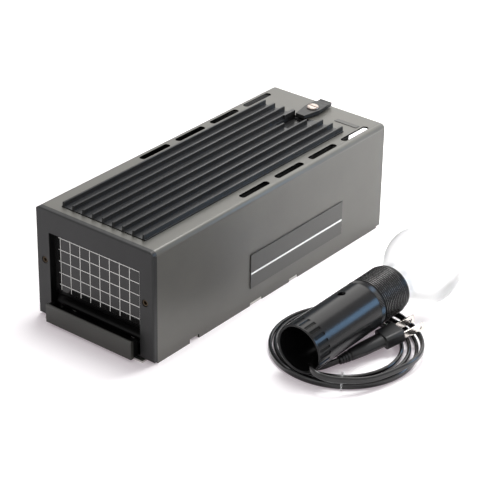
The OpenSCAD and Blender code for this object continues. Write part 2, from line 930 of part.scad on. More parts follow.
// Upturned lip and its foot, one moulding
module drawer_lip() {
    foot_z = tray_z + tray_t;
    color([0.06, 0.06, 0.06])
        difference() {
            union() {
                // Lip with round top edges
                translate([-lip_w / 2, lip_front, lip_z])
                    cube([lip_w, lip_t, lip_h - lip_t / 2]);
                translate([-lip_w / 2, lip_front + lip_t / 2, lip_z + lip_h - lip_t / 2])
                    rod_x(lip_t / 2, lip_w);
                span_box([-foot_front_x, lip_front + lip_t - cut, foot_z], [foot_front_x, foot_rear - 0.5, foot_z + foot_t]);
                // Cove between lip and foot
                difference() {
                    span_box(
                        [-foot_front_x, lip_front + lip_t - cut, foot_z],
                        [foot_front_x, lip_front + lip_t + 3, foot_z + foot_t + 3]
                    );
                    translate([-foot_front_x - cut, lip_front + lip_t + 3, foot_z + foot_t + 3])
                        rod_x(3, 2 * foot_front_x + 2 * cut);
                }
            }
            for (x = [-1, 1])
                translate([x * 30, tray_front + 2.8, foot_z - cut])
                    cylinder(r = m3 + fit, h = foot_t + 2 * cut);
        }
}

module drawer_screws() {
    color([0.6, 0.6, 0.6])
        for (x = [-1, 1])
            translate([x * 30, tray_front + 2.8, tray_z + tray_t + foot_t])
                rotate([180, 0, 0])
                    cap_screw(foot_t + tray_t);
}

// Bare places of the labels

module side_label() {
    color([0.1, 0.1, 0.1])
        translate([half_w, label_y, label_z])
            span_box([0, -label_l / 2, -label_h / 2], [label_t, label_l / 2, label_h / 2]);
}

module top_strip() {
    color([0.1, 0.1, 0.1])
        translate([strip_place.x, strip_place.y, body_h])
            span_box([-strip_l / 2, -strip_w / 2, 0], [strip_l / 2, strip_w / 2, strip_t]);
}

// Lamp holder

// Puts the children on the lamp holder's own axis, with +Z from its mouth to its bulb
module lamp_axis() {
    translate(lamp_place_at)
        rotate([0, 0, -lamp_yaw])
            rotate([lamp_pitch - 90, 0, 0])
                children();
}

module lamp_tube() {
    r = tube_d / 2;
    color([0.05, 0.05, 0.06])
        lamp_axis()
            difference() {
                union() {
                    difference() {
                        cylinder(r = r, h = tube_l);
                        translate([0, 0, -cut])
                            cylinder(r = r - tube_t, h = tube_l + 2 * cut);
                    }
                    translate([0, 0, dome_t])
                        cylinder(r = r - tube_t + 0.1, h = dome_wall);
                }
                translate([0, 0, dome_t - cut])
                    cylinder(r = 5, h = dome_wall + 2 * cut);
                // Chamfer round the mouth
                translate([0, 0, -0.001])
                    cylinder(r1 = r - tube_t + 0.8, r2 = r - tube_t, h = 0.8);
                // Flutes of the grip
                for (i = [0:flutes - 1])
                    rotate([0, 0, i * 360 / flutes])
                        translate([r - 0.8, -0.8, 1.2])
                            cube([2, 1.6, grip_l]);
                // Small hole in the upper side
                rotate([0, 0, -12])
                    translate([0, -r / 2, 56.5])
                        rotate([90, 0, 0])
                            cylinder(d = 6.5, h = r);
            }
}

module lock_ring() {
    color([0.06, 0.06, 0.06])
        lamp_axis()
            translate([0, 0, tube_l])
                difference() {
                    union() {
                        cylinder(r1 = tube_d / 2 - 0.4, r2 = tube_d / 2, h = 0.4);
                        translate([0, 0, 0.4])
                            cylinder(r = tube_d / 2, h = ring_l - 0.8);
                        translate([0, 0, ring_l - 0.4])
                            cylinder(r1 = tube_d / 2, r2 = tube_d / 2 - 0.4, h = 0.4);
                    }
                    translate([0, 0, -cut])
                        cylinder(r = shell_d / 2 - thread_h - 1.9, h = ring_l + 2 * cut);
                }
}

// Half section of the socket shell, from the lock ring to its round rim
module shell_section() {
    r = shell_d / 2;
    root = r - thread_h;
    turns = floor(thread_l / thread_pitch);
    inner = cap_r + 2.4;
    end = tube_l + ring_l + shell_l - 4;
    polygon(concat(
        [[inner, tube_l + ring_l], [root, tube_l + ring_l]],
        [for (i = [0:turns - 1], p = [[root, 0.3], [r, 0.8], [r, 1.2], [root, 1.7]])
            [p.x, tube_l + ring_l + (i + p.y / 2) * thread_pitch]],
        [for (a = [0:15:90]) [root - rim_r + rim_r * cos(a), end - rim_r + rim_r * sin(a)]],
        [[inner, end]]
    ));
}

module socket_shell() {
    color([0.05, 0.05, 0.06])
        lamp_axis()
            union() {
                rotate_extrude()
                    shell_section();
                // Neck through the lock ring
                translate([0, 0, core_t])
                    difference() {
                        cylinder(r = shell_d / 2 - thread_h - 2, h = ring_l);
                        translate([0, 0, -cut])
                            cylinder(r = cap_r + 2.4, h = ring_l + 2 * cut);
                    }
            }
}

module socket_core() {
    color([0.85, 0.83, 0.78])
        lamp_axis()
            translate([0, 0, core_t])
                difference() {
                    cylinder(r = cap_r + 2.4, h = 26);
                    translate([0, 0, 4])
                        cylinder(r = cap_r + 0.4, h = 30);
                    translate([0, 0, -cut])
                        cylinder(r = 2, h = 10);
                }
}

module socket_contacts() {
    color([0.75, 0.6, 0.3])
        lamp_axis()
            translate([0, 0, core_t + 4]) {
                translate([-3, -2, 0])
                    cube([6, 4, 0.5]);
                translate([cap_r - 4, -2, 0])
                    cube([4.3, 4, 0.4]);
            }
}

// The lamp's screw cap, with its round thread
module bulb_cap() {
    color([0.75, 0.65, 0.4])
        lamp_axis()
            translate([0, 0, cap_t])
                rotate_extrude()
                    polygon(concat(
                        [[0, -1.3], [3, -1.3], [4, -0.6], [9, 0], [11.5, 1.5]],
                        [for (z = [2:0.5:20]) [cap_r - 0.6 - 0.55 * cos(z * 360 / 3.6), z]],
                        [[cap_r - 0.4, 21], [cap_r - 0.4, cap_l], [0, cap_l]]
                    ));
}

// Half section of the bulb's glass, thinner all round by less
module bulb_section(less) {
    r = bulb_d / 2;
    join = 52;
    polygon(concat(
        [[0, cap_t + cap_l + less]],
        [[cap_r - 0.4 - less, cap_t + cap_l + less], [cap_r - 0.2 - less, cap_t + cap_l + 1]],
        [for (a = [0:10:join])
            [neck_r - less + 9 * (1 - cos(a)), bulb_t - r * cos(32) - 9 * sin(join) + 9 * sin(a) - 0.5]],
        [for (a = [-58:4:90]) [(r - less) * cos(a), bulb_t + (r - less) * sin(a)]],
        [[0, bulb_t + r - less]]
    ));
}

module bulb_glass() {
    color([0.97, 0.97, 0.95])
        lamp_axis()
            difference() {
                rotate_extrude()
                    bulb_section(0);
                rotate_extrude()
                    bulb_section(glass_wall);
            }
}

module cord_grip() {
    color([0.08, 0.08, 0.08])
        lamp_axis()
            difference() {
                union() {
                    translate([0, 0, nipple_t])
                        cylinder(r1 = 5.5, r2 = 8, h = dome_t - nipple_t);
                    translate([0, 0, dome_t - 1])
                        cylinder(r = 4.9, h = dome_wall + 3);
                }
                translate([0, 0, nipple_t + 1.5])
                    cylinder(r = 3.2, h = 20);
            }
}

// Lead

// Points round the lead's flat section, its width along the second axis
function lead_ring(sides, w, t) = [for (i = [0:sides - 1])
    let (a = lead_angle(sides, i)) [t / 2 * cos(a) / lead_wide(sides), w / 2 * sin(a) / lead_high(sides)]];

// Angles of the section's corners, so that it lies on a flat side
function lead_angle(sides, i) = (i + (sides % 4 == 0 ? 0.5 : 0)) * 360 / sides;
function lead_wide(sides) = max([for (i = [0:sides - 1]) cos(lead_angle(sides, i))]);
function lead_high(sides) = max([for (i = [0:sides - 1]) sin(lead_angle(sides, i))]);

// A unit vector
function unit(v) = v / norm(v);

// The direction of the route at a point
function heading(path, i) = unit(path[min(i + 1, len(path) - 1)] - path[max(i - 1, 0)]);

// The route as a closed tube of a flat section; wide is the way that its width points
module sweep(path, ring, wide) {
    n = len(ring);
    points = [for (i = [0:len(path) - 1])
        let (
            d = heading(path, i),
            side = unit(cross(d, wide)),
            up = cross(side, d)
        )
        for (p = ring) path[i] + p.x * side + p.y * up];
    sides = [for (i = [0:len(path) - 2], k = [0:n - 1])
        let (a = i * n + k, b = i * n + (k + 1) % n)
        for (f = [[a, b, b + n], [a, b + n, a + n]]) f];
    last = (len(path) - 1) * n;
    caps = [for (k = [1:n - 2]) for (f = [[0, k + 1, k], [last, last + k, last + k + 1]]) f];
    polyhedron(points = points, faces = [for (f = concat(sides, caps)) [f[0], f[2], f[1]]]);
}

// A point of the coil's spiral after a number of turns
function coil_point(turn) =
    let (a = coil_start + 360 * turn, r = coil_r - coil_step * turn)
    [coil_mid.x - coil_drift * turn + r * cos(a), coil_mid.y + r * sin(a), coil_z];

coil_path = [for (i = [0:round(coil_turns * coil_rings)]) coil_point(i / coil_rings)];
coil_end = coil_path[len(coil_path) - 1];
coil_exit = unit(coil_end - coil_path[len(coil_path) - 2]);

// The least air between a turn of the coil and the next
coil_air = min([for (i = [0:len(coil_path) - 1 - coil_rings], j = [-2:2])
    if (i + coil_rings + j < len(coil_path)) norm(coil_path[i] - coil_path[i + coil_rings + j])]) - lead_t;
echo(least_air_between_turns = coil_air);

module cord_tail() {
    color([0.05, 0.05, 0.05])
        sweep(tail_points, lead_ring(8, lead_w, lead_t), [0, 0, 1]);
}

module cord_coil() {
    color([0.05, 0.05, 0.05])
        sweep(coil_path, lead_ring(6, lead_w, lead_t), [0, 0, 1]);
}

module cord_end() {
    color([0.05, 0.05, 0.05])
        sweep(
            concat([coil_end, coil_end + 3 * coil_exit], end_points, [plug_at - (relief_l + 0.35) * plug_way]),
            lead_ring(8, lead_w, lead_t),
            [0, 0, 1]
        );
}

// Puts the children on the plug's own axis, with +Z from its strain relief to its blades
module plug_axis() {
    translate(plug_at)
        rotate([0, 0, -plug_yaw])
            rotate([plug_pitch - 90, 0, 0])
                children();
}

module plug_relief() {
    color([0.05, 0.05, 0.05])
        plug_axis()
            translate([0, 0, -relief_l])
                rotate_extrude()
                    polygon(concat(
                        [[0, 0], [3, 0]],
                        [for (i = [0:3], p = [[3.4, 0.4], [3.4, 1.6], [2.9, 1.9], [2.9, 2.6]])
                            [p.x + i * 0.3, p.y + i * relief_l / 4.4]],
                        [[4.4, relief_l], [0, relief_l]]
                    ));
}

module plug_body() {
    color([0.05, 0.05, 0.05])
        plug_axis() {
            hull() {
                cylinder(r = 4.6, h = 1, $fn = 32);
                translate([0, 0, 12])
                    resize([plug_w - 3, plug_h - 1, 1])
                        cylinder(r = 5, h = 1, $fn = 32);
                translate([0, 0, plug_l - head_l])
                    resize([plug_w - 2, plug_h - 0.6, 1])
                        cylinder(r = 5, h = 1, $fn = 32);
            }
            translate([0, 0, plug_l - head_l + 0.5])
                round_slab([plug_w + 1, plug_h + 0.5, head_l - 0.5], 3);
        }
}

module plug_blades() {
    color([0.8, 0.8, 0.78])
        plug_axis()
            for (x = [-1, 1])
                translate([x * blade_gap / 2 - blade_t / 2, -blade_w / 2, plug_l])
                    difference() {
                        cube([blade_t, blade_w, blade_l]);
                        translate([-cut, blade_w / 2, blade_l - 4])
                            rotate([0, 90, 0])
                                cylinder(d = 3, h = blade_t + 2 * cut);
                    }
}

// Clear tie over the front of the coil
module cord_tie() {
    a = 303;
    outer_turn = (a - coil_start) / 360;
    outer = coil_r - coil_step * outer_turn + lead_t / 2 + 0.8;
    inner = coil_r - (coil_step + coil_drift * cos(a)) * (outer_turn + 2) - (lead_t / 2 + 1.6);
    top = lead_w + 0.9;
    color([0.9, 0.9, 0.9, 0.5])
        translate([coil_mid.x, coil_mid.y, 0])
            rotate([0, 0, a])
                translate([0, -0.8, 0])
                    difference() {
                        span_box([inner, 0, 0.05], [outer, 1.6, top]);
                        span_box([inner + 0.5, -cut, -cut], [outer - 0.5, 1.6 + cut, top - 0.5]);
                    }
}

cover_shell();
front_bezel();
grid_panel();
front_screws();
heat_sink();
base_plate();
base_screws();
side_wall_left();
side_wall_right();
rear_wall();
wall_screws();
lamp_collar();
collar_screws();
clamp_shoe();
lever_washer();
clamp_lever();
lever_screw();
clamp_stud();
mirror_glass();
mirror_carrier();
mirror_clips();
heat_glass();
heat_glass_frame();
heat_glass_springs();
drawer_rail_left();
drawer_rail_right();
drawer_stop();
drawer_tray();
drawer_lip();
drawer_screws();
side_label();
top_strip();
lamp_tube();
lock_ring();
socket_shell();
socket_core();
socket_contacts();
bulb_cap();
bulb_glass();
cord_grip();
cord_tail();
cord_coil();
cord_end();
plug_relief();
plug_body();
plug_blades();
cord_tie();
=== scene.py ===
"""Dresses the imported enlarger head: camera, lead, finishes, printed lines, lamp and studio.

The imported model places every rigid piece.  Each sub-assembly is one class, which holds its
sizes, and makes and dresses its own pieces.  A finish is a node tree on Object coordinates.
All lengths are in metres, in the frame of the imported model.
"""

import logging
import math
from dataclasses import dataclass
from enum import Enum
from functools import lru_cache
from typing import Callable, Iterable, Sequence

import bmesh
import bpy
from mathutils import Matrix, Vector


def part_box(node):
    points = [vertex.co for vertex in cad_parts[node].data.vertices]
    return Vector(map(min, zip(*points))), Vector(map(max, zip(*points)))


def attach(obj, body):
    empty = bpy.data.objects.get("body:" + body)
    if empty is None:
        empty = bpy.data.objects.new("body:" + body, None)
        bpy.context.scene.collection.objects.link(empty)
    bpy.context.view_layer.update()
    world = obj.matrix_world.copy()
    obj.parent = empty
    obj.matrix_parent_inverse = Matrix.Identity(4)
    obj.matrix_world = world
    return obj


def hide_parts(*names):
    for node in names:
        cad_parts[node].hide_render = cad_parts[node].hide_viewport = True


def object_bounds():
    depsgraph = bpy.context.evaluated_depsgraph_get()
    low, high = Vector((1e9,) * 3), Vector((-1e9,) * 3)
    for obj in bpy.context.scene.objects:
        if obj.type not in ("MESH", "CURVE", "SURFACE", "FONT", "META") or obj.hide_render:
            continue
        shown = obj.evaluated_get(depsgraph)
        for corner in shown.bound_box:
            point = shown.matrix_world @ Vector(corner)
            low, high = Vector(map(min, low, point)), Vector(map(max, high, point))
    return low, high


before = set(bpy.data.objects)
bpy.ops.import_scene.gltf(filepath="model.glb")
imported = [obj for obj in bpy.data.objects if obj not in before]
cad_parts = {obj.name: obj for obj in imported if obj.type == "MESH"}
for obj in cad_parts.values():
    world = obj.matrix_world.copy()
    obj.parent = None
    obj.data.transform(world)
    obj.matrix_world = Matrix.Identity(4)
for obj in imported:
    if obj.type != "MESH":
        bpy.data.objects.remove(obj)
CAD_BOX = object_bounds()

MM = 0.001
BROAD = 2.5 * MM  # a face this wide is flat, a narrower one is part of a curve
WIDE = 300 * MM * MM  # and so is a face of this area
SAME = 1e-6  # points nearer than this are one point
SNUG = 0.01 * MM  # the slack of a fit
FACING = 0.9  # a normal's part along an axis, from which its face looks that way
UPRIGHT = 0.5  # a normal's part along Z, below which its face is a wall
BAND = (0.3, 0.7)  # the middle band of a noise
MOTTLE_BAND = (0.35, 0.65)  # the band in which mottling goes from one colour to the other
NOISE_ROUGHNESS = 0.55
FINE_DETAIL = 2.0
log = logging.getLogger("enlarger_head")

Color = tuple[float, float, float]
Shape = bmesh.types.BMesh
Socket = bpy.types.NodeSocket
Where = Callable[[Vector, Vector], bool]


class Body(Enum):
    """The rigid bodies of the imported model."""

    HOUSING = "housing"
    DRAWER = "filter_drawer"
    LEVER = "lever"
    LAMP = "lamp_set"


class Grain(Enum):
    """The way that a surface's fine grain runs, as the stretch of its noise on X, Y and Z."""

    EVEN = (1.0, 1.0, 1.0)
    ALONG = (1.0, 0.02, 1.0)
    ACROSS = (0.03, 1.0, 1.0)
    ROLLED = (0.25, 0.06, 0.25)


# --- finishes ---


class Graph:
    """The node tree of one material or of the world."""

    def __init__(self, owner: bpy.types.Material | bpy.types.World) -> None:
        """Starts the tree.

        Args:
            owner: the new material or world.
        """
        owner.use_nodes = True
        self.tree = owner.node_tree
        self.tree.nodes.clear()

    def add(self, kind: str, **values: float | Sequence[float]) -> bpy.types.Node:
        """Adds a node.

        Args:
            kind: the node's type.
            values: the values of its inputs, with _ for each space in an input's name.

        Returns:
            The node.
        """
        node = self.tree.nodes.new(kind)
        for name, value in values.items():
            node.inputs[name.replace("_", " ")].default_value = value
        return node

    def close(self, surface: Socket, kind: str = "ShaderNodeOutputMaterial") -> None:
        """Adds the tree's output node, and links its surface."""
        self.tree.links.new(surface, self.add(kind).inputs["Surface"])

    def join(self, start: Socket, end: Socket) -> Socket:
        """Links an output to an input, and returns the first output of the input's node."""
        self.tree.links.new(start, end)
        return end.node.outputs[0]

    def noise(self, grain: Grain, scale: float, detail: float = 4.0) -> Socket:
        """Adds a noise on Object coordinates.

        Args:
            grain: the way that it is stretched.
            scale: its scale, in features for each metre.
            detail: its octaves.

        Returns:
            The noise's value socket.
        """
        coords = self.add("ShaderNodeTexCoord").outputs["Object"]
        mapping = self.add("ShaderNodeMapping", Scale=grain.value)
        noise = self.add(
            "ShaderNodeTexNoise", Scale=scale, Detail=detail, Roughness=NOISE_ROUGHNESS
        )
        return self.join(self.join(coords, mapping.inputs["Vector"]), noise.inputs["Vector"])

    def blend(self, value: Socket, low: Color, high: Color, edges: tuple[float, float]) -> Socket:
        """Turns a value into a colour between two.

        Args:
            value: the socket that drives it.
            low: the colour at the lower edge.
            high: the colour at the upper edge.
            edges: the two edges.

        Returns:
            The colour socket.
        """
        ramp = self.add("ShaderNodeValToRGB")
        first, last = ramp.color_ramp.elements
        first.position, last.position = edges
        first.color = (*low, 1.0)
        last.color = (*high, 1.0)
        return self.join(value, ramp.inputs["Fac"])

    def span(
        self, value: Socket, edges: tuple[float, float], low: float = 0.0, high: float = 1.0
    ) -> bpy.types.Node:
        """Maps a value's band to a range.

        Args:
            value: the value's socket.
            edges: the band's two edges.
            low: the result at the lower edge.
            high: the result at the upper edge.

        Returns:
            The mapping's node.
        """
        band = self.add(
            "ShaderNodeMapRange", From_Min=edges[0], From_Max=edges[1], To_Min=low, To_Max=high
        )
        self.join(value, band.inputs["Value"])
        return band

    def mix(self, share: Socket, first: Socket, last: Socket) -> Socket:
        """Mixes two shaders.

        Args:
            share: the last one's share.
            first: one shader.
            last: the other.

        Returns:
            The mixed shader.
        """
        mix = self.add("ShaderNodeMixShader")
        self.join(share, mix.inputs["Fac"])
        self.join(first, mix.inputs[1])
        return self.join(last, mix.inputs[2])

    def combine(self, operation: str, first: Socket, last: Socket) -> Socket:
        """Adds a node that works out one value from two.

        Args:
            operation: its operation.
            first: the first value.
            last: the second.

        Returns:
            The result's socket.
        """
        node = self.add("ShaderNodeMath")
        node.operation = operation
        self.join(first, node.inputs[0])
        return self.join(last, node.inputs[1])

    def seen(self) -> Socket:
        """Tells the rays that see or mirror a surface from those that light others.

        Returns:
            A socket that is 1 for camera, glossy and transmission rays.
        """
        rays = self.add("ShaderNodeLightPath").outputs
        either = self.combine("MAXIMUM", rays["Is Camera Ray"], rays["Is Glossy Ray"])
        return self.combine("MAXIMUM", either, rays["Is Transmission Ray"])


@dataclass(frozen=True)
class Finish:
    """One surface finish: a colour with slow mottling, a fine grain and its gloss."""

    name: str
    color: Color
    mottle: Color
    slot: str
    roughness: tuple[float, float] = (0.4, 0.5)
    metallic: float = 0.0
    specular: float = 0.5
    coat: float = 0.0
    coat_roughness: float = 0.1
    transmission: float = 0.0
    ior: float = 1.5
    alpha: float = 1.0
    mottle_scale: float = 40.0
    grain: Grain = Grain.EVEN
    grain_scale: float = 1500.0
    grain_depth: float = 0.00002

    @lru_cache(maxsize=None)
    def material(self) -> bpy.types.Material:
        """Builds the finish's node tree the first time that it is asked for.

        Returns:
            The finish's one material.
        """
        made = bpy.data.materials.new(self.name)
        graph = Graph(made)
        shader = graph.add(
            "ShaderNodeBsdfPrincipled", Metallic=self.metallic, Specular_IOR_Level=self.specular,
            Coat_Weight=self.coat, Coat_Roughness=self.coat_roughness,
            Transmission_Weight=self.transmission, IOR=self.ior, Alpha=self.alpha,
        )
        sockets = shader.inputs
        slow = graph.noise(Grain.EVEN, self.mottle_scale)
        fine = graph.noise(self.grain, self.grain_scale, FINE_DETAIL)
        bump = graph.add("ShaderNodeBump", Strength=1.0, Distance=self.grain_depth)
        graph.join(graph.blend(slow, self.color, self.mottle, MOTTLE_BAND), sockets["Base Color"])
        graph.join(graph.span(fine, BAND, *self.roughness).outputs[0], sockets["Roughness"])
        graph.join(graph.join(fine, bump.inputs["Height"]), sockets["Normal"])
        graph.close(shader.outputs[0])
        return made


class Finishes:
    """The finishes of this object."""

    COVER = Finish(
        "cover_paint", (0.074, 0.0715, 0.062), (0.085, 0.082, 0.0705), "cover_paint",
        roughness=(0.42, 0.5), metallic=0.35, specular=0.6, coat=0.35, coat_roughness=0.36,
        mottle_scale=18.0, grain_scale=2200.0, grain_depth=0.00001,
    )
    BEZEL = Finish(
        "bezel_grain", (0.013, 0.0132, 0.0135), (0.016, 0.0162, 0.0165), "bezel_plastic",
        roughness=(0.34, 0.44), specular=0.32, mottle_scale=25.0, grain_scale=2600.0,
        grain_depth=0.00003,
    )
    PANEL = Finish(
        "panel_gloss", (0.01, 0.01, 0.01), (0.013, 0.0125, 0.0125), "panel_gloss",
        roughness=(0.06, 0.1), specular=0.38, mottle_scale=20.0, grain_scale=300.0,
        grain_depth=0.000002,
    )
    PRINT = Finish(
        "printed_lines", (0.74, 0.73, 0.71), (0.8, 0.79, 0.77), "label_pale",
        roughness=(0.45, 0.6), mottle_scale=300.0, grain_depth=0.000004,
    )
    BLACK_STEEL = Finish(
        "blackened_steel", (0.012, 0.012, 0.012), (0.02, 0.02, 0.019), "black_steel",
        roughness=(0.35, 0.5), metallic=0.3, grain=Grain.ACROSS, grain_scale=1800.0,
        mottle_scale=120.0,
    )
    SINK = Finish(
        "black_anodised", (0.025, 0.0252, 0.0255), (0.031, 0.0312, 0.0315), "black_aluminium",
        roughness=(0.26, 0.36), metallic=0.3, specular=0.45, grain=Grain.ALONG,
        grain_scale=2400.0, grain_depth=0.000014, mottle_scale=30.0,
    )
    PLATED = Finish(
        "zinc_plate", (0.5, 0.5, 0.48), (0.6, 0.59, 0.55), "plated_steel",
        roughness=(0.3, 0.42), metallic=1.0, grain=Grain.ROLLED, grain_scale=1600.0,
        mottle_scale=60.0, grain_depth=0.00001,
    )
    BLACK_PAINT = Finish(
        "matt_black_paint", (0.014, 0.014, 0.014), (0.02, 0.02, 0.019), "black_paint",
        roughness=(0.6, 0.75), grain_scale=1800.0, grain_depth=0.00003,
    )
    BRASS = Finish(
        "plain_brass", (0.62, 0.45, 0.2), (0.7, 0.54, 0.27), "brass",
        roughness=(0.25, 0.4), metallic=1.0, grain=Grain.ACROSS, mottle_scale=150.0,
    )
    NICKEL = Finish(
        "bright_nickel", (0.66, 0.62, 0.58), (0.76, 0.72, 0.67), "bright_nickel",
        roughness=(0.14, 0.26), metallic=1.0, grain=Grain.ACROSS, grain_scale=2400.0,
        mottle_scale=200.0, grain_depth=0.000006,
    )
    WORN = Finish(
        "worn_nickel", (0.36, 0.3, 0.27), (0.55, 0.48, 0.44), "bright_nickel",
        roughness=(0.3, 0.45), metallic=1.0, grain=Grain.ACROSS, grain_scale=2000.0,
        mottle_scale=700.0, grain_depth=0.00001,
    )
    MIRROR = Finish(
        "silvered_face", (0.86, 0.87, 0.88), (0.9, 0.9, 0.9), "mirror",
        roughness=(0.02, 0.04), metallic=1.0, grain_depth=0.0,
    )
    HEAT_GLASS = Finish(
        "heat_glass", (0.75, 0.92, 0.88), (0.78, 0.94, 0.9), "heat_glass",
        roughness=(0.02, 0.05), transmission=0.9, grain_depth=0.0,
    )
    LIP = Finish(
        "drawer_lip", (0.022, 0.022, 0.018), (0.027, 0.0265, 0.022), "lip_plastic",
        roughness=(0.3, 0.42), mottle_scale=30.0, grain_scale=2600.0, grain_depth=0.000012,
    )
    # Painted shade: a near-black gloss laid on faces in openings, slots, grooves and troughs, where
    # shade falls.
    PAINTED_SHADE = Finish(
        "painted_shade_gloss", (0.002, 0.002, 0.002), (0.003, 0.003, 0.003), "bezel_plastic",
        roughness=(0.3, 0.4), specular=0.12, mottle_scale=30.0, grain_depth=0.000004,
    )
    SCREW = Finish(
        "browned_screw", (0.05, 0.036, 0.022), (0.07, 0.05, 0.03), "black_steel",
        roughness=(0.25, 0.4), metallic=0.9, mottle_scale=300.0, grain_depth=0.00001,
    )
    LABEL = Finish(
        "label_plate", (0.04, 0.0385, 0.0345), (0.045, 0.0435, 0.0395), "label_dark",
        roughness=(0.32, 0.4), mottle_scale=25.0, grain_scale=1200.0, grain_depth=0.000004,
    )
    STRIP = Finish(
        "pale_strip", (0.93, 0.93, 0.92), (0.95, 0.95, 0.94), "label_pale",
        roughness=(0.3, 0.4), mottle_scale=120.0, grain_depth=0.000004,
    )
    HOLDER = Finish(
        "holder_phenolic", (0.004, 0.004, 0.0045), (0.006, 0.006, 0.0065), "holder_plastic",
        roughness=(0.2, 0.26), specular=0.26, mottle_scale=60.0, grain_scale=1400.0,
        grain_depth=0.000004,
    )
    # Painted highlight: a lighter copy of the holder's phenolic on the thread, so that its crests
    # read bright.
    THREAD_HIGHLIGHT = Finish(
        "thread_phenolic_painted_highlight", (0.02, 0.019, 0.019), (0.024, 0.023, 0.023), "holder_plastic",
        roughness=(0.24, 0.3), specular=1.0, coat=0.5, mottle_scale=60.0, grain_scale=1400.0,
        grain_depth=0.000002,
    )
    CERAMIC = Finish(
        "socket_ceramic", (0.76, 0.74, 0.68), (0.82, 0.8, 0.74), "ceramic",
        roughness=(0.5, 0.65), mottle_scale=200.0,
    )
    OPAL = Finish(
        "opal_glass", (0.98, 0.98, 0.98), (0.985, 0.985, 0.985), "opal_glass",
        roughness=(0.3, 0.34), coat=0.6, coat_roughness=0.03, transmission=0.8,
        grain_scale=300.0, grain_depth=0.000001,
    )
    SHEATH = Finish(
        "lead_sheath", (0.005, 0.005, 0.0055), (0.008, 0.008, 0.008), "lead_sheath",
        roughness=(0.12, 0.18), specular=0.36, coat=0.25, coat_roughness=0.06,
        mottle_scale=90.0, grain_depth=0.00001,
    )
    PLUG = Finish(
        "plug_moulding", (0.008, 0.008, 0.008), (0.013, 0.013, 0.013), "plug_plastic",
        roughness=(0.38, 0.5), mottle_scale=80.0, grain_scale=2400.0, grain_depth=0.00002,
    )
    TIE = Finish(
        "clear_tie", (0.85, 0.86, 0.87), (0.9, 0.91, 0.92), "clear_tie",
        roughness=(0.12, 0.2), transmission=0.7, ior=1.45, alpha=0.45, grain_depth=0.000002,
    )


# --- making pieces ---


Dressing = tuple[tuple[Finish, tuple[str, ...]], ...]


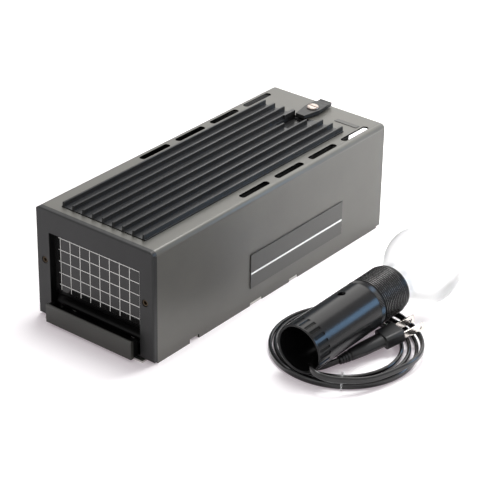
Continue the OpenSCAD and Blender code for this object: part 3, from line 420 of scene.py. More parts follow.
class Workshop:
    """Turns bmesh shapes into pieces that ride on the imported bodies, and dresses CAD nodes."""

    @staticmethod
    def dress(finishes: Dressing) -> None:
        """Puts finishes on CAD nodes.

        Args:
            finishes: each finish with the nodes that have it.
        """
        for finish, nodes in finishes:
            for node in nodes:
                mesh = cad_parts[node].data
                mesh.materials.clear()
                mesh.materials.append(finish.material())

    @staticmethod
    def piece(
        name: str,
        shape: Shape,
        body: Body,
        finish: Finish,
        stands_for: Sequence[str] = (),
        crease: float = 34.0,
    ) -> bpy.types.Object:
        """Makes a shape into a finished piece.

        Args:
            name: the piece's name.
            shape: its bmesh, which is freed.
            body: the body that it rides on.
            finish: its finish.
            stands_for: the CAD nodes that it replaces.
            crease: the angle in degrees above which an edge stays sharp.

        Returns:
            The new object, at the origin.
        """
        mesh = bpy.data.meshes.new(name)
        curved = [
            face.calc_area() < min(BROAD * max(edge.calc_length() for edge in face.edges), WIDE)
            for face in shape.faces
        ]
        shape.to_mesh(mesh)
        shape.free()
        mesh.set_sharp_from_angle(angle=math.radians(crease))
        mesh.polygons.foreach_set("use_smooth", curved)
        made = bpy.data.objects.new(name, mesh)
        bpy.context.scene.collection.objects.link(made)
        mesh.materials.append(finish.material())
        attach(made, body.value)
        if stands_for:
            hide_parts(*stands_for)
        log.info("piece %s: %d faces on %s", name, len(mesh.polygons), body.value)
        return made

    @staticmethod
    def softened(node: str, width: float, crease: float = 30.0, flat: float = 0.5) -> Shape:
        """Copies a CAD node's shape and rounds its sharp edges.

        Args:
            node: the CAD node.
            width: the width of the rounding.
            crease: the angle in degrees above which an edge is rounded.
            flat: the angle in degrees up to which faces are one flat face.

        Returns:
            The rounded shape.
        """
        shape = bmesh.new()
        shape.from_mesh(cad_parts[node].data)
        bmesh.ops.remove_doubles(shape, verts=shape.verts, dist=SAME)
        bmesh.ops.dissolve_limit(
            shape, angle_limit=math.radians(flat), verts=shape.verts, edges=shape.edges
        )
        sharp = [
            edge
            for edge in shape.edges
            if edge.is_manifold and edge.calc_face_angle(0.0) > math.radians(crease)
        ]
        bmesh.ops.bevel(
            shape, geom=sharp, offset=width, offset_type="OFFSET", segments=2, profile=0.5,
            affect="EDGES", clamp_overlap=True, material=-1,
        )
        return shape

    @staticmethod
    def soft_piece(
        node: str, name: str, width: float, body: Body, finish: Finish
    ) -> bpy.types.Object:
        """Makes the piece that stands for one CAD node, as its copy with rounded edges.

        Args:
            node: the CAD node.
            name: the piece's name.
            width: the width of the rounding.
            body: the body that it rides on.
            finish: its finish.

        Returns:
            The new object.
        """
        return Workshop.piece(name, Workshop.softened(node, width), body, finish, (node,))

    @staticmethod
    def repaint(made: bpy.types.Object, finish: Finish, where: Where) -> None:
        """Gives some faces of a piece another finish.

        Args:
            made: the piece.
            finish: the other finish.
            where: tells from a face's centre and normal whether it gets that finish.
        """
        mesh = made.data
        mesh.materials.append(finish.material())
        for face in mesh.polygons:
            if where(face.center, face.normal):
                face.material_index = len(mesh.materials) - 1

    @staticmethod
    def slab(shape: Shape, low: Sequence[float], high: Sequence[float]) -> None:
        """Adds a box between two corners to a shape."""
        low, high = Vector(low), Vector(high)
        place = Matrix.Translation((low + high) / 2) @ Matrix.Diagonal((*(high - low), 1.0))
        bmesh.ops.create_cube(shape, size=1.0, matrix=place)

    @staticmethod
    def lathe(shape: Shape, outline: Iterable[tuple[float, float]], steps: int) -> None:
        """Spins an outline of (radius, height) points round Z.

        Args:
            shape: the bmesh that gets the surface.
            outline: the points.
            steps: the number of steps of a full turn.
        """
        points = [shape.verts.new((radius, 0.0, height)) for radius, height in outline]
        edges = [shape.edges.new(pair) for pair in zip(points, points[1:])]
        bmesh.ops.spin(
            shape, geom=points + edges, cent=(0, 0, 0), axis=(0, 0, 1), angle=2 * math.pi,
            steps=steps, use_merge=True,
        )
        bmesh.ops.remove_doubles(shape, verts=shape.verts, dist=SAME)
        bmesh.ops.recalc_face_normals(shape, faces=shape.faces)


# --- camera ---


@dataclass
class PhotoCamera:
    """The photograph's camera, fitted to the housing's edges."""

    azimuth: float = 38.178
    elevation: float = 28.905
    roll: float = 1.084
    distance: float = 1.5573
    target: tuple[float, float, float] = (0.0, 0.0975, 0.0475)
    aside: float = 0.02179
    lift: float = -0.02983
    lens_in_widths: float = 3.88
    sensor: float = 36.0
    clip: tuple[float, float] = (0.05, 20.0)

    def build(self) -> bpy.types.Object:
        """Makes the camera and gives it to the scene.

        Returns:
            The camera object.
        """
        turn, rise = math.radians(self.azimuth), math.radians(self.elevation)
        back = Vector(
            (math.sin(turn) * math.cos(rise), -math.cos(turn) * math.cos(rise), math.sin(rise))
        )
        level = (-back).cross(Vector((0, 0, 1))).normalized()
        upright = level.cross(-back)
        tilt = math.radians(self.roll)
        right = math.cos(tilt) * level + math.sin(tilt) * upright
        up = math.cos(tilt) * upright - math.sin(tilt) * level
        place = Vector(self.target) + back * self.distance + right * self.aside + up * self.lift
        data = bpy.data.cameras.new("photo_camera")
        data.sensor_width = self.sensor
        data.lens = self.lens_in_widths * self.sensor
        data.clip_start, data.clip_end = self.clip
        camera = bpy.data.objects.new("photo_camera", data)
        bpy.context.scene.collection.objects.link(camera)
        turned = Matrix((right, up, back)).transposed().to_4x4()
        camera.matrix_world = Matrix.Translation(place) @ turned
        bpy.context.scene.camera = camera
        log.info("camera at %s", tuple(round(x, 3) for x in place))
        return camera


# --- lead ---


@dataclass
class FlatLead:
    """The flat twin lead: a tail out of the holder's mouth, a coil, and an end to the plug.

    The coil is wound inwards and drifts to the left.  Its sizes, the tail and the end are in
    millimetres, its start is in degrees, and `between` is the steps from one knot to the next.
    """

    width: float = 5.2 * MM
    thickness: float = 3.2 * MM
    groove: float = 0.22 * MM
    coil_middle: tuple[float, float] = (154.2, 56.7)
    coil_radius: float = 58.3
    coil_step: float = 4.8
    coil_drift: float = 1.1
    coil_start: float = 110.0
    coil_turns: float = 3.4
    steps_a_turn: int = 30
    between: int = 4
    tail: tuple[tuple[float, float, float], ...] = (
        (153.4, 59.3, 27.9), (153.3, 48, 27), (154, 36, 22), (155.5, 24, 16.5), (158.5, 12, 15),
        (163, 2.5, 17), (168.5, -5, 17.5), (176, -6, 16), (183.5, -1, 13.5), (190.5, 7, 11.5),
        (197, 16.5, 9.5), (202.3, 27, 8.5), (206, 38.5, 8.2), (208.6, 50.5, 8.1),
        (210.2, 63, 8.1), (208.9, 75.5, 8.1), (203.8, 86.5, 8.1), (196, 95.8, 8.1),
        (186.4, 103, 8.1), (175.5, 108.6, 8), (164, 112.6, 7.9), (153, 115.3, 5.9),
        (143.5, 115.5, 3.4), (138.8, 113.9, 2.6),
    )
    end: tuple[tuple[float, float, float], ...] = (
        (147, 15.4, 2.6), (152.3, 16.9, 2.6), (156.5, 20, 2.7), (159.3, 24.6, 3),
        (161.3, 30.3, 3.3), (163.1, 35.4, 3.6), (163.8, 37.4, 3.93),
    )

    def coil(self) -> list[Vector]:
        """Returns the points of the coil's spiral, in millimetres."""
        points = []
        for i in range(round(self.coil_turns * self.steps_a_turn) + 1):
            turn = i / self.steps_a_turn
            angle = math.radians(self.coil_start + 360.0 * turn)
            radius = self.coil_radius - self.coil_step * turn
            middle = self.coil_middle[0] - self.coil_drift * turn
            x = middle + radius * math.cos(angle)
            y = self.coil_middle[1] + radius * math.sin(angle)
            points.append(Vector((x, y, self.width / MM / 2)))
        return points

    def route(self) -> list[Vector]:
        """Draws one smooth curve through the tail, the coil and the end.

        Returns:
            The curve's points, in metres.
        """
        knots = [Vector(p) for p in self.tail] + self.coil() + [Vector(p) for p in self.end]
        knots = [2 * knots[0] - knots[1], *knots, 2 * knots[-1] - knots[-2]]
        line = []
        for a, b, c, d in zip(knots, knots[1:], knots[2:], knots[3:]):
            for i in range(self.between):
                t = i / self.between
                curve = (2 * a - 5 * b + 4 * c - d) * t * t + (3 * b - a - 3 * c + d) * t * t * t
                line.append(0.5 * MM * (2 * b + (c - a) * t + curve))
        line.append(knots[-2] * MM)
        return line

    def section(self) -> list[tuple[float, float]]:
        """Returns the outline of the flat section, waisted between its two cores."""
        half, round_r = self.width / 2, self.thickness / 2
        shift = half - round_r
        arc = [math.radians(a) for a in range(0, 181, 30)]
        upper = [(round_r * math.cos(a), shift + round_r * math.sin(a)) for a in arc]
        lower = [(-x, -y) for x, y in upper]
        waist = round_r - self.groove
        return [*upper, (-waist, 0.0), *lower, (waist, 0.0)]

    def build(self, on_it: Sequence[str]) -> bpy.types.Object:
        """Args:
            on_it: the names of the separate pieces on the lead; it is not used.

        Returns:
            The lead's object.
        """
        line, outline = self.route(), self.section()
        shape = bmesh.new()
        rings = []
        for i, point in enumerate(line):
            ahead = (line[min(i + 1, len(line) - 1)] - line[max(i - 1, 0)]).normalized()
            side = ahead.cross(Vector((0, 0, 1))).normalized()
            up = side.cross(ahead)
            rings.append([shape.verts.new(point + x * side + y * up) for x, y in outline])
        for ring, after in zip(rings, rings[1:]):
            for k in range(len(outline)):
                m = (k + 1) % len(outline)
                shape.faces.new((ring[k], ring[m], after[m], after[k]))
        shape.faces.new(rings[0])
        shape.faces.new(rings[-1])
        bmesh.ops.recalc_face_normals(shape, faces=shape.faces)
        lead = Workshop.piece(
            "flat_lead", shape, Body.LAMP, Finishes.SHEATH,
            ("cord_tail", "cord_coil", "cord_end"), crease=60.0,
        )
        return lead


# --- housing ---


@dataclass
class Housing:
    """The sheet cover, the chassis inside it and what is fastened to them.

    A slot is given by how far its outer and inner edge lie from the middle.  The bezel's
    window is its half width, sill and top, and a front screw is a profile in millimetres.
    """

    cut_edge: float = 0.12 * MM
    slots: tuple[float, float] = (53.6 * MM, 49 * MM)
    slot_slack: float = 0.3 * MM
    slot_gain: float = 1.24
    skin: float = 0.4 * MM
    border: float = 3 * MM
    bend_radius: float = 4 * MM
    bend_inside: float = 3.4 * MM
    bend_reach: float = 5 * MM
    window: tuple[float, float, float] = (45.7 * MM, 11 * MM, 76.1 * MM)
    window_edge: float = 0.2 * MM
    moulded_edge: float = 0.45 * MM
    fin_edge: float = 0.4 * MM
    under_cover: float = 1.55 * MM
    well_half: float = 8.4 * MM
    well_lip: tuple[float, float, float] = (1.6 * MM, 2.4 * MM, 3 * MM)
    screw: tuple[tuple[float, float], ...] = (
        (0.0, -1.5), (1.5, -1.5), (1.5, -0.2), (1.7, 0.0), (2.4, 0.0), (2.7, -0.3), (2.7, -1.8),
        (1.5, -1.8),
    )
    screw_steps: int = 32
    strip_edge: float = 0.08 * MM
    line_height: float = 13.2 * MM
    line_half: float = 0.8 * MM
    line_inset: float = 0.6 * MM
    line_depth: tuple[float, float] = (0.02 * MM, 0.05 * MM)
    finishes: Dressing = (
        (Finishes.PANEL, ("grid_panel",)),
        (
            Finishes.PLATED,
            (
                "base_plate", "base_screws", "wall_screws", "collar_screws", "mirror_clips",
                "heat_glass_springs", "drawer_rail_left", "drawer_rail_right", "drawer_stop",
            ),
        ),
        (
            Finishes.BLACK_PAINT,
            (
                "side_wall_left", "side_wall_right", "rear_wall", "lamp_collar",
                "mirror_carrier", "heat_glass_frame",
            ),
        ),
        (Finishes.BRASS, ("clamp_shoe",)),
        (Finishes.MIRROR, ("mirror_glass",)),
        (Finishes.HEAT_GLASS, ("heat_glass",)),
    )

    def build(self) -> None:
        """Dresses the housing's CAD nodes and makes the pieces that stand for the others."""
        Workshop.dress(self.finishes)
        for node, width in (("side_label", self.cut_edge), ("top_strip", self.strip_edge)):
            Workshop.soft_piece(node, node + "_part", width, Body.HOUSING, Finishes.LABEL)
        self.cover()
        self.bezel()
        self.heat_sink()
        self.front_screws()
        self.label_line()

    def cover(self) -> None:
        """Softens the cover's edges, widens its slots, and paints shade as glossy black on its
        inside and on the slots' walls.
        """
        low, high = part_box("cover_shell")
        shape = Workshop.softened("cover_shell", self.cut_edge)
        outer, inner = self.slots
        for vert in shape.verts:
            aside = abs(vert.co.x)
            in_slot = inner - self.slot_slack < aside < outer + self.slot_slack
            if in_slot and vert.co.z > high.z - self.border:
                vert.co.x = math.copysign(outer - (outer - aside) * self.slot_gain, vert.co.x)
        made = Workshop.piece("cover_sheet", shape, Body.HOUSING, Finishes.COVER, ("cover_shell",))
        bend = Vector((high.x - self.bend_radius, high.z - self.bend_radius))

        def painted_shade_inside(center: Vector, normal: Vector) -> bool:
            """Tells whether a face lies inside the cover's outer skin, where shade is painted."""
            if min(center.y - low.y, high.y - center.y) < self.border:
                return False
            place = Vector((abs(center.x), center.z))
            beside, below = high.x - place.x, high.z - center.z
            if beside < self.bend_reach and below < self.bend_reach:
                return (place - bend).length < self.bend_inside
            cut = abs(normal.z) < UPRIGHT and below < self.border
            return beside > self.skin and (below > self.skin or cut)

        # The cover's inside and its slots' walls get painted shade.
        Workshop.repaint(made, Finishes.PAINTED_SHADE, painted_shade_inside)

    def bezel(self) -> None:
        """Softens the bezel and paints shade as glossy black on the inside of its opening."""
        made = Workshop.soft_piece(
            "front_bezel", "bezel_moulding", self.moulded_edge, Body.HOUSING, Finishes.BEZEL
        )
        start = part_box("front_bezel")[0].y + self.window_edge
        half, sill, top = self.window

        def inside(center: Vector, normal: Vector) -> bool:
            """Tells whether a face lies in the bezel's opening."""
            on_sill = center.z < sill and normal.y < -FACING
            return abs(center.x) < half and center.z < top and center.y > start and not on_sill

        # The opening's inner faces, the same moulding as the bezel's face, get painted shade.
        Workshop.repaint(made, Finishes.PAINTED_SHADE, inside)

    def heat_sink(self) -> None:
        """Softens the fins' edges and gives the lever's well its low rear lip."""
        shape = Workshop.softened("heat_sink", self.fin_edge)
        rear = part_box("heat_sink")[1].y
        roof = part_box("cover_shell")[1].z - self.under_cover
        overlap, reach, depth = self.well_lip
        Workshop.slab(
            shape,
            (-self.well_half, rear - overlap, roof - depth), (self.well_half, rear + reach, roof),
        )
        Workshop.piece("fin_block", shape, Body.HOUSING, Finishes.SINK, ("heat_sink",))

    def front_screws(self) -> None:
        """Turns the two front screws, each with a deep socket."""
        low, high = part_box("front_screws")
        tip = (low.y - high.y) / MM
        outline = [*self.screw, (self.screw[-1][0], tip), (0.0, tip)]
        shape = bmesh.new()
        Workshop.lathe(shape, [(r * MM, z * MM) for r, z in outline], self.screw_steps)
        twin = bmesh.ops.duplicate(shape, geom=shape.verts[:] + shape.edges[:] + shape.faces[:])
        copied = [part for part in twin["geom"] if isinstance(part, bmesh.types.BMVert)]
        aside = high.x - MM * max(radius for radius, _ in self.screw)
        place = Matrix.Translation((-aside, low.y, (low.z + high.z) / 2))
        turned = place @ Matrix.Rotation(math.radians(90), 4, "X")
        bmesh.ops.transform(shape, matrix=turned, verts=shape.verts)
        bmesh.ops.translate(shape, vec=(2 * aside, 0, 0), verts=copied)
        Workshop.piece(
            "front_screws_part", shape, Body.HOUSING, Finishes.SCREW, ("front_screws",)
        )

    def label_line(self) -> None:
        """Makes the plain pale line along the bare label plate."""
        low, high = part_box("side_label")
        height = low.z + self.line_height
        sunk, proud = self.line_depth
        shape = bmesh.new()
        Workshop.slab(
            shape,
            (high.x - sunk, low.y + self.line_inset, height - self.line_half),
            (high.x + proud, high.y - self.line_inset, height + self.line_half),
        )
        Workshop.piece("side_label_line", shape, Body.HOUSING, Finishes.STRIP)


@dataclass
class GridPanel:
    """The glossy panel's printed grid of thin pale lines.

    The runs are how far the lines go on past the outer ones that cross them.
    """

    pitch: float = 10 * MM
    line: float = 0.55 * MM
    ink: float = 0.05 * MM
    columns: int = 9
    rows: int = 5
    top_row: float = 70.4 * MM
    row_pitch: float = 10.08 * MM
    left_run: float = 2.0 * MM
    right_run: float = 0.8 * MM
    top_run: float = 1.6 * MM
    low_run: float = 4.7 * MM

    def build(self) -> bpy.types.Object:
        """Lays the lines on the panel's face.

        Returns:
            The grid's object.
        """
        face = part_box("grid_panel")[0].y
        half = (self.columns - 1) / 2 * self.pitch
        bottom = self.top_row - (self.rows - 1) * self.row_pitch
        shape = bmesh.new()
        for i in range(self.columns):
            x = i * self.pitch - half
            Workshop.slab(
                shape,
                (x - self.line / 2, face - self.ink, bottom - self.low_run),
                (x + self.line / 2, face + self.ink, self.top_row + self.top_run),
            )
        for i in range(self.rows):
            z = self.top_row - i * self.row_pitch
            Workshop.slab(
                shape,
                (-half - self.left_run, face - self.ink, z - self.line / 2),
                (half + self.right_run, face + self.ink, z + self.line / 2),
            )
        return Workshop.piece("grid_lines", shape, Body.HOUSING, Finishes.PRINT)


@dataclass
class Drawer:
    """The filter drawer with its moulded lip."""

    edge: float = 0.45 * MM
    end_wall: tuple[float, float] = (3 * MM, 0.05 * MM)
    end_front: float = 1 * MM
    end_floor: float = 0.6 * MM
    end_top: float = 1.2 * MM
    gap: float = 0.5 * MM
    front_wall: float = 1.6 * MM
    finishes: Dressing = (
        (Finishes.BLACK_PAINT, ("drawer_tray",)),
        (Finishes.PLATED, ("drawer_screws",)),
    )

    def build(self) -> None:
        """Dresses the drawer, softens its lip, closes the lip's trough at both ends and paints
        shade in the trough.
        """
        Workshop.dress(self.finishes)
        shape = Workshop.softened("drawer_lip", self.edge)
        low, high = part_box("drawer_lip")
        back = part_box("front_bezel")[0].y - self.gap
        for side in (-1, 1):
            left, right = sorted(side * (high.x - inset) for inset in self.end_wall)
            Workshop.slab(
                shape,
                (left, low.y + self.end_front, low.z + self.end_floor),
                (right, back, high.z - self.end_top),
            )
        made = Workshop.piece(
            "drawer_lip_moulding", shape, Body.DRAWER, Finishes.LIP, ("drawer_lip",)
        )

        def behind(center: Vector, normal: Vector) -> bool:
            """Tells whether a face lies behind the lip's front."""
            return center.y > low.y + self.front_wall and normal.y > -FACING

        # The trough behind the lip's front, with its end walls, gets painted shade.
        Workshop.repaint(made, Finishes.PAINTED_SHADE, behind)


@dataclass
class ClampLever:
    """The clamp lever with its bright screw and its washer."""

    edge: float = 0.35 * MM
    screw_edge: float = 0.2 * MM
    finishes: Dressing = (
        (Finishes.PLATED, ("clamp_stud",)),
        (Finishes.BLACK_STEEL, ("lever_washer",)),
    )

    def build(self) -> None:
        """Softens the lever and its screw, and dresses the stud and the washer."""
        Workshop.dress(self.finishes)
        for node, finish, width in (
            ("clamp_lever", Finishes.BLACK_STEEL, self.edge),
            ("lever_screw", Finishes.WORN, self.screw_edge),
        ):
            Workshop.soft_piece(node, node + "_part", width, Body.LEVER, finish)


@dataclass
class LampHolder:
    """The lamp holder on its own axis, from its mouth to the bulb.

    The side hole's turn, the yaw and the bulb's angles are in degrees.
    """

    mouth: tuple[float, float, float] = (151.9 * MM, -0.3 * MM, 25.6 * MM)
    yaw: float = 1.4
    tube_length: float = 76 * MM
    tube_radius: float = 20 * MM
    tube_wall: float = 2 * MM
    tube_ease: float = 0.4 * MM
    mouth_bevel: tuple[float, float] = (0.9 * MM, 0.8 * MM)
    mouth_round: tuple[float, float] = (0.5 * MM, 0.15 * MM)
    flutes: int = 24
    steps_a_flute: int = 12
    flute_share: float = 0.2
    flute_depth: float = 0.7 * MM
    flute_skin: float = 0.2 * MM
    flute_run: tuple[float, float] = (1.4 * MM, 13 * MM)
    hole_at: float = 56.5 * MM
    hole_turn: float = -102.0
    hole_radius: float = 3.25 * MM
    hole_margin: float = 0.25 * MM
    hole_rows: int = 7
    hole_row: float = 0.6 * MM
    dome: tuple[float, float] = (66 * MM, 69 * MM)
    dome_hole: float = 5 * MM
    ring_length: float = 4.5 * MM
    ring_wall: float = 2.4 * MM
    ring_ease: float = 0.15 * MM
    ring_ribs: int = 110
    rib_height: float = 0.3 * MM
    shell_end: float = 114.5 * MM
    shell_bore: float = 15.6 * MM
    shell_in_ring: float = 1.5 * MM
    neck_radius_in_ring: float = 17.2 * MM
    rim_radius: float = 3.4 * MM
    rim_steps: int = 8
    thread_radius: float = 19.8 * MM
    thread_depth: float = 1.0 * MM
    thread_pitch: float = 2 * MM
    thread_turns: int = 14
    thread_form: tuple[tuple[float, float], ...] = (
        (-0.46, 0.0), (-0.15, 0.8), (0.0, 1.0), (0.15, 0.8), (0.46, 0.0),
    )
    thread_sunk: float = 0.1 * MM
    thread_offset: float = 0.4
    thread_squeeze: float = 0.97
    thread_run_out: float = 0.25
    groove_share: float = 0.45
    bulb_radius: float = 31.5 * MM
    bulb_from_mouth: float = 156 * MM
    bulb_ease: float = 9 * MM
    bulb_join: float = 52.0
    bulb_seat: float = 32.0
    bulb_start: float = -57.0
    bulb_base: float = 13 * MM
    bulb_steps: tuple[int, int] = (7, 37)
    neck_from_mouth: float = 110 * MM
    neck_radius: float = 14 * MM
    neck_sink: float = 0.5 * MM
    plug_edge: float = 0.5 * MM
    blade_edge: float = 0.2 * MM
    around: int = 96
    finishes: Dressing = (
        (Finishes.HOLDER, ("cord_grip",)),
        (Finishes.CERAMIC, ("socket_core",)),
        (Finishes.BRASS, ("socket_contacts", "bulb_cap")),
        (Finishes.PLUG, ("plug_relief",)),
        (Finishes.TIE, ("cord_tie",)),
    )

    @property
    def axis(self) -> Matrix:
        """The place of the holder's own axis, Z from its mouth to its bulb."""
        pitch = math.asin((self.bulb_radius - self.mouth[2]) / self.bulb_from_mouth)
        return (
            Matrix.Translation(self.mouth)
            @ Matrix.Rotation(-math.radians(self.yaw), 4, "Z")
            @ Matrix.Rotation(pitch - math.pi / 2, 4, "X")
        )

    def build(self) -> None:
        """Dresses the holder's nodes and makes its detailed pieces."""
        Workshop.dress(self.finishes)
        self.tube()
        self.knurled_ring()
        self.socket_shell()
        self.bulb()
        for node, finish, width in (
            ("plug_body", Finishes.PLUG, self.plug_edge),
            ("plug_blades", Finishes.NICKEL, self.blade_edge),
        ):
            Workshop.soft_piece(node, node + "_part", width, Body.LAMP, finish)

    def settle(self, shape: Shape) -> None:
        """Moves a shape from the holder's own axis to its place."""
        bmesh.ops.transform(shape, matrix=self.axis, verts=shape.verts)

    def tube(self) -> None:
        """Spins the tube with its inner dome, cuts its flutes and its side hole, and paints shade
        in the flutes.
        """
        outer, inner, end = self.tube_radius, self.tube_radius - self.tube_wall, self.tube_length
        low, high = self.flute_run
        ease, (bevel, bevel_depth) = self.tube_ease, self.mouth_bevel
        rounding, first = self.mouth_round
        hole = [
            self.hole_at + i * self.hole_row for i in range(-self.hole_rows, self.hole_rows + 1)
        ]
        outline = [(inner, bevel_depth), (inner + bevel, 0.0), (outer - rounding, 0.0)]
        outline += [(outer - first, first), (outer, rounding)]
        outline += [(outer, row) for row in (low, low + ease, high - ease, high, *hole)]
        outline += [(outer, end - ease), (outer - ease, end), (inner, end)]
        outline += [(inner, self.dome[1]), (self.dome_hole, self.dome[1])]
        outline += [(self.dome_hole, self.dome[0]), (inner, self.dome[0])]
        outline += [(inner, row) for row in reversed(hole)]
        outline.append(outline[0])
        shape = bmesh.new()
        Workshop.lathe(shape, outline, self.steps_a_flute * self.flutes)
        for vert in shape.verts:
            radius = vert.co.xy.length
            turn = math.degrees(math.atan2(vert.co.y, vert.co.x)) * self.flutes / 360
            in_run = low + ease / 2 < vert.co.z < high - ease / 2
            if radius > outer - SNUG and in_run and abs(turn - round(turn)) < self.flute_share:
                vert.co.xy *= 1 - self.flute_depth / radius
        self.side_hole(shape)
        self.settle(shape)
        made = Workshop.piece(
            "holder_tube", shape, Body.LAMP, Finishes.HOLDER, ("lamp_tube",), crease=20.0
        )
        back = self.axis.inverted()

        def in_flute(center: Vector, normal: Vector) -> bool:
            """Tells whether a face lies in one of the flutes."""
            place = back @ center
            return low < place.z < high and inner < place.xy.length < outer - self.flute_skin

        # The flutes get painted shade.
        Workshop.repaint(made, Finishes.PAINTED_SHADE, in_flute)

    def side_hole(self, shape: Shape) -> None:
        """Opens the round hole in the tube's upper side.

        Args:
            shape: the spun tube, on its own axis.
        """
        middle = math.radians(self.hole_turn)
        wall_from = self.tube_radius - self.tube_wall - self.hole_margin
        reach = self.hole_radius + self.hole_margin

        def from_hole(vert: bmesh.types.BMVert) -> Vector:
            """Gives a point's place round the hole, unrolled on the outer surface."""
            turn = math.remainder(math.atan2(vert.co.y, vert.co.x) - middle, 2 * math.pi)
            return Vector((turn * self.tube_radius, vert.co.z - self.hole_at))

        walls = [
            face
            for face in shape.faces
            if all(v.co.xy.length > wall_from and from_hole(v).length < reach for v in face.verts)
        ]
        bmesh.ops.delete(shape, geom=walls, context="FACES")
        edges = [edge for edge in shape.edges if edge.is_boundary]
        for vert in {vert for edge in edges for vert in edge.verts}:
            place = from_hole(vert)
            place *= self.hole_radius / place.length
            radius = vert.co.xy.length
            angle = middle + place.x / self.tube_radius
            vert.co = (radius * math.cos(angle), radius * math.sin(angle), self.hole_at + place.y)
        bmesh.ops.bridge_loops(shape, edges=edges)
        bmesh.ops.recalc_face_normals(shape, faces=shape.faces)

    def knurled_ring(self) -> None:
        """Makes the lock ring with its straight knurling."""
        shape = bmesh.new()
        outer, ease = self.tube_radius - self.rib_height, self.ring_ease
        inner = outer - self.ring_wall
        low, high = self.tube_length + SNUG, self.tube_length + self.ring_length
        Workshop.lathe(
            shape,
            [
                (inner, low), (outer - ease, low), (outer, low + ease), (outer, high - ease),
                (outer - ease, high), (inner, high), (inner, low),
            ],
            2 * self.ring_ribs,
        )
        for vert in shape.verts:
            radius = vert.co.xy.length
            if radius > outer - ease / 2:
                place = round(math.atan2(vert.co.y, vert.co.x) / math.pi * self.ring_ribs)
                vert.co.xy *= 1 + (self.rib_height if place % 2 else 0.0) / radius
        self.settle(shape)
        Workshop.piece(
            "lock_ring_knurled", shape, Body.LAMP, Finishes.HOLDER, ("lock_ring",), crease=20.0
        )

    def socket_shell(self) -> None:
        """Makes the socket shell: a smooth wall with a round rim, and the thread on it, with a
        painted highlight on the crests and painted shade in the groove.
        """
        root = self.thread_radius - self.thread_depth
        start = self.tube_length + self.ring_length
        end, rim = self.shell_end, self.rim_radius
        outline = [(self.shell_bore, start - self.shell_in_ring)]
        outline += [(self.neck_radius_in_ring, start - self.shell_in_ring)]
        outline += [(self.neck_radius_in_ring, start), (root, start), (root, end - rim)]
        for i in range(1, self.rim_steps + 1):
            a = math.radians(90 * i / self.rim_steps)
            outline.append((root - rim + rim * math.cos(a), end - rim + rim * math.sin(a)))
        outline += [(self.shell_bore, end), outline[0]]
        shape = bmesh.new()
        Workshop.lathe(shape, outline, self.around)
        self.thread(shape, root, start)
        bmesh.ops.recalc_face_normals(shape, faces=shape.faces)
        self.settle(shape)
        made = Workshop.piece(
            "socket_shell_threaded", shape, Body.LAMP, Finishes.THREAD_HIGHLIGHT, ("socket_shell",),
            crease=80.0,
        )
        back = self.axis.inverted()

        def deep(center: Vector, normal: Vector) -> bool:
            """Tells whether a face lies in the thread's groove."""
            return (back @ center).xy.length < root + self.groove_share * self.thread_depth

        def on_rim(center: Vector, normal: Vector) -> bool:
            """Tells whether a face lies on the shell's rim."""
            return (back @ center).z > end - rim

        # The thread's groove gets painted shade. The rim gets the holder's own colour, without the
        # painted highlight.
        Workshop.repaint(made, Finishes.PAINTED_SHADE, deep)
        Workshop.repaint(made, Finishes.HOLDER, on_rim)

    def thread(self, shape: Shape, root: float, start: float) -> None:
        """Winds the round-crested thread, which runs out over a quarter turn at both ends.

        Args:
            shape: the bmesh that gets the thread.
            root: the radius of the thread's root.
            start: the thread's start on the holder's own axis.
        """
        sunk = root - self.thread_sunk
        turns = self.thread_turns
        rows = []
        for i in range(self.around * turns + 1):
            turn = i / self.around
            height = (self.thread_radius - sunk) * min(
                1.0, turn / self.thread_run_out, (turns - turn) / self.thread_run_out
            )
            middle = start + self.thread_pitch * (self.thread_offset + turn * self.thread_squeeze)
            turned = Matrix.Rotation(2 * math.pi * turn, 3, "Z")
            rows.append(
                [
                    shape.verts.new(
                        turned @ Vector((sunk + up * height, 0, middle + along * self.thread_pitch))
                    )
                    for along, up in self.thread_form
                ]
            )
        for row, after in zip(rows, rows[1:]):
            for k in range(len(row) - 1):
                shape.faces.new((row[k], row[k + 1], after[k + 1], after[k]))
            shape.faces.new((row[0], after[0], after[-1], row[-1]))
        shape.faces.new(rows[0])
        shape.faces.new(rows[-1])

    def bulb(self) -> None:
        """Spins the opal bulb from its neck to its crown."""
        r, ease, middle = self.bulb_radius, self.bulb_ease, self.bulb_from_mouth
        join, start = math.radians(self.bulb_join), self.bulb_start
        neck_steps, steps = self.bulb_steps
        outline = [(0.0, self.neck_from_mouth), (self.bulb_base, self.neck_from_mouth)]
        base = middle - r * math.cos(math.radians(self.bulb_seat)) - self.neck_sink
        base -= ease * math.sin(join)
        for i in range(neck_steps + 1):
            a = join * i / neck_steps
            outline.append((self.neck_radius + ease * (1 - math.cos(a)), base + ease * math.sin(a)))
        for i in range(steps + 1):
            a = math.radians(start + (90 - start) * i / steps)
            outline.append((r * math.cos(a), middle + r * math.sin(a)))
        shape = bmesh.new()
        Workshop.lathe(shape, outline, self.around)
        self.settle(shape)
        Workshop.piece(
            "opal_bulb", shape, Body.LAMP, Finishes.OPAL, ("bulb_glass",), crease=50.0
        )


# --- studio ---


class Reach(Enum):
    """What a lamp lights."""

    ALL = "all"
    MIRRORED = "only what is mirrored"
    MATT = "only what is not mirrored"


@dataclass
class Lamp:
    """One soft square lamp, which the camera doesn't see."""

    name: str
    place: tuple[float, float, float]
    aim: tuple[float, float, float]
    size: float
    power: float
    color: Color = (1.0, 1.0, 1.0)
    reach: Reach = Reach.ALL

    def build(self) -> None:
        """Hangs the lamp and points it at its aim."""
        data = bpy.data.lights.new(self.name, "AREA")
        data.shape = "SQUARE"
        data.size = self.size
        data.energy = self.power
        data.color = self.color
        made = bpy.data.objects.new(self.name, data)
        made.visible_camera = False
        made.visible_diffuse = self.reach is not Reach.MIRRORED
        made.visible_glossy = self.reach is not Reach.MATT
        bpy.context.scene.collection.objects.link(made)
        made.location = self.place
        way = Vector(self.aim) - Vector(self.place)
        made.rotation_euler = way.to_track_quat("-Z", "Y").to_euler()


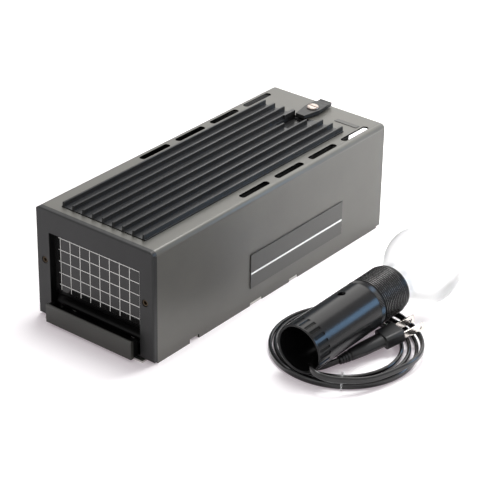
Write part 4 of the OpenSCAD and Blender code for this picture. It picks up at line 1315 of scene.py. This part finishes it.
@dataclass
class Studio:
    """The pale floor, the white surroundings and the lamps.

    The floor turns to plain white between the two distances of `far`.
    """

    floor_size: float = 6.0
    floor_drop: float = 0.1 * MM
    floor_roughness: float = 0.9
    floor_color: Color = (0.86, 0.87, 0.865)
    glow_color: Color = (0.21, 0.175, 0.195)
    far: tuple[float, float] = (0.42, 0.9)
    ambient: float = 0.52
    ambient_color: Color = (1.0, 0.97, 0.985)
    lamps: tuple[Lamp, ...] = (
        Lamp("overhead", (-0.12, 0.42, 1.6), (0.03, 0.08, 0.04), 0.6, 18.5),
        Lamp("front_fill", (0.1, -1.4, 0.6), (0.0, 0.0, 0.05), 0.9, 2.4),
        Lamp(
            "rear_sheen", (-0.3, 1.13, 1.03), (0.05, 0.08, 0.03), 1.1, 8.0, (1.0, 0.98, 0.95),
            Reach.MIRRORED,
        ),
        Lamp("rear_fill", (0.25, 0.77, 0.38), (0.06, 0.22, 0.06), 0.3, 6.4, reach=Reach.MATT),
        Lamp(
            "window", (0.96, 0.94, 0.5), (0.1, 0.1, 0.04), 0.4, 4.6, (0.3, 0.6, 1.0),
            Reach.MIRRORED,
        ),
    )

    def build(self) -> None:
        """Makes the floor, the world and the lamps."""
        self.floor()
        self.world()
        for lamp in self.lamps:
            lamp.build()
        bpy.context.scene.view_settings.view_transform = "Standard"

    def floor(self) -> None:
        """Makes the floor: white paper that keeps the shadows near the object.

        It adds a faint glow where it is seen or mirrored, and far off it is plain white.
        """
        shape = bmesh.new()
        bmesh.ops.create_grid(shape, x_segments=1, y_segments=1, size=self.floor_size / 2)
        bmesh.ops.translate(shape, verts=shape.verts, vec=(0, 0, CAD_BOX[0].z - self.floor_drop))
        mesh = bpy.data.meshes.new("studio_floor")
        shape.to_mesh(mesh)
        shape.free()
        floor = bpy.data.objects.new("studio_floor", mesh)
        bpy.context.scene.collection.objects.link(floor)
        paper = bpy.data.materials.new("floor_paper")
        graph = Graph(paper)
        seen = graph.seen()
        matt = graph.add(
            "ShaderNodeBsdfPrincipled", Base_Color=(*self.floor_color, 1.0),
            Roughness=self.floor_roughness, Specular_IOR_Level=0.0,
        )
        glow = graph.add("ShaderNodeEmission", Color=(*self.glow_color, 1.0))
        lit = graph.add("ShaderNodeAddShader")
        graph.join(matt.outputs[0], lit.inputs[0])
        graph.join(graph.join(seen, glow.inputs["Strength"]), lit.inputs[1])
        reach = graph.add("ShaderNodeVectorMath")
        reach.operation = "LENGTH"
        graph.join(graph.add("ShaderNodeTexCoord").outputs["Object"], reach.inputs[0])
        ease = graph.span(reach.outputs["Value"], self.far)
        ease.interpolation_type = "SMOOTHSTEP"
        share = graph.combine("MULTIPLY", seen, ease.outputs[0])
        white = graph.add("ShaderNodeEmission")
        graph.close(graph.mix(share, lit.outputs[0], white.outputs[0]))
        mesh.materials.append(paper)

    def world(self) -> None:
        """Makes the surroundings: white where they are seen, softer where they light."""
        world = bpy.data.worlds.new("studio_world")
        bpy.context.scene.world = world
        graph = Graph(world)
        seen = graph.add("ShaderNodeBackground", Color=(1.0, 1.0, 1.0, 1.0))
        light = graph.add(
            "ShaderNodeBackground", Color=(*self.ambient_color, 1.0), Strength=self.ambient
        )
        mixed = graph.mix(graph.seen(), light.outputs[0], seen.outputs[0])
        graph.close(mixed, "ShaderNodeOutputWorld")


def main() -> None:
    """Builds the camera, the sub-assemblies and the studio."""
    logging.basicConfig(level=logging.INFO, format="%(name)s: %(message)s")
    PhotoCamera().build()
    LampHolder().build()
    FlatLead().build(("plug_relief", "plug_body_part", "plug_blades_part", "cord_tie"))
    Housing().build()
    GridPanel().build()
    Drawer().build()
    ClampLever().build()
    Studio().build()


if __name__ == "__main__":
    main()
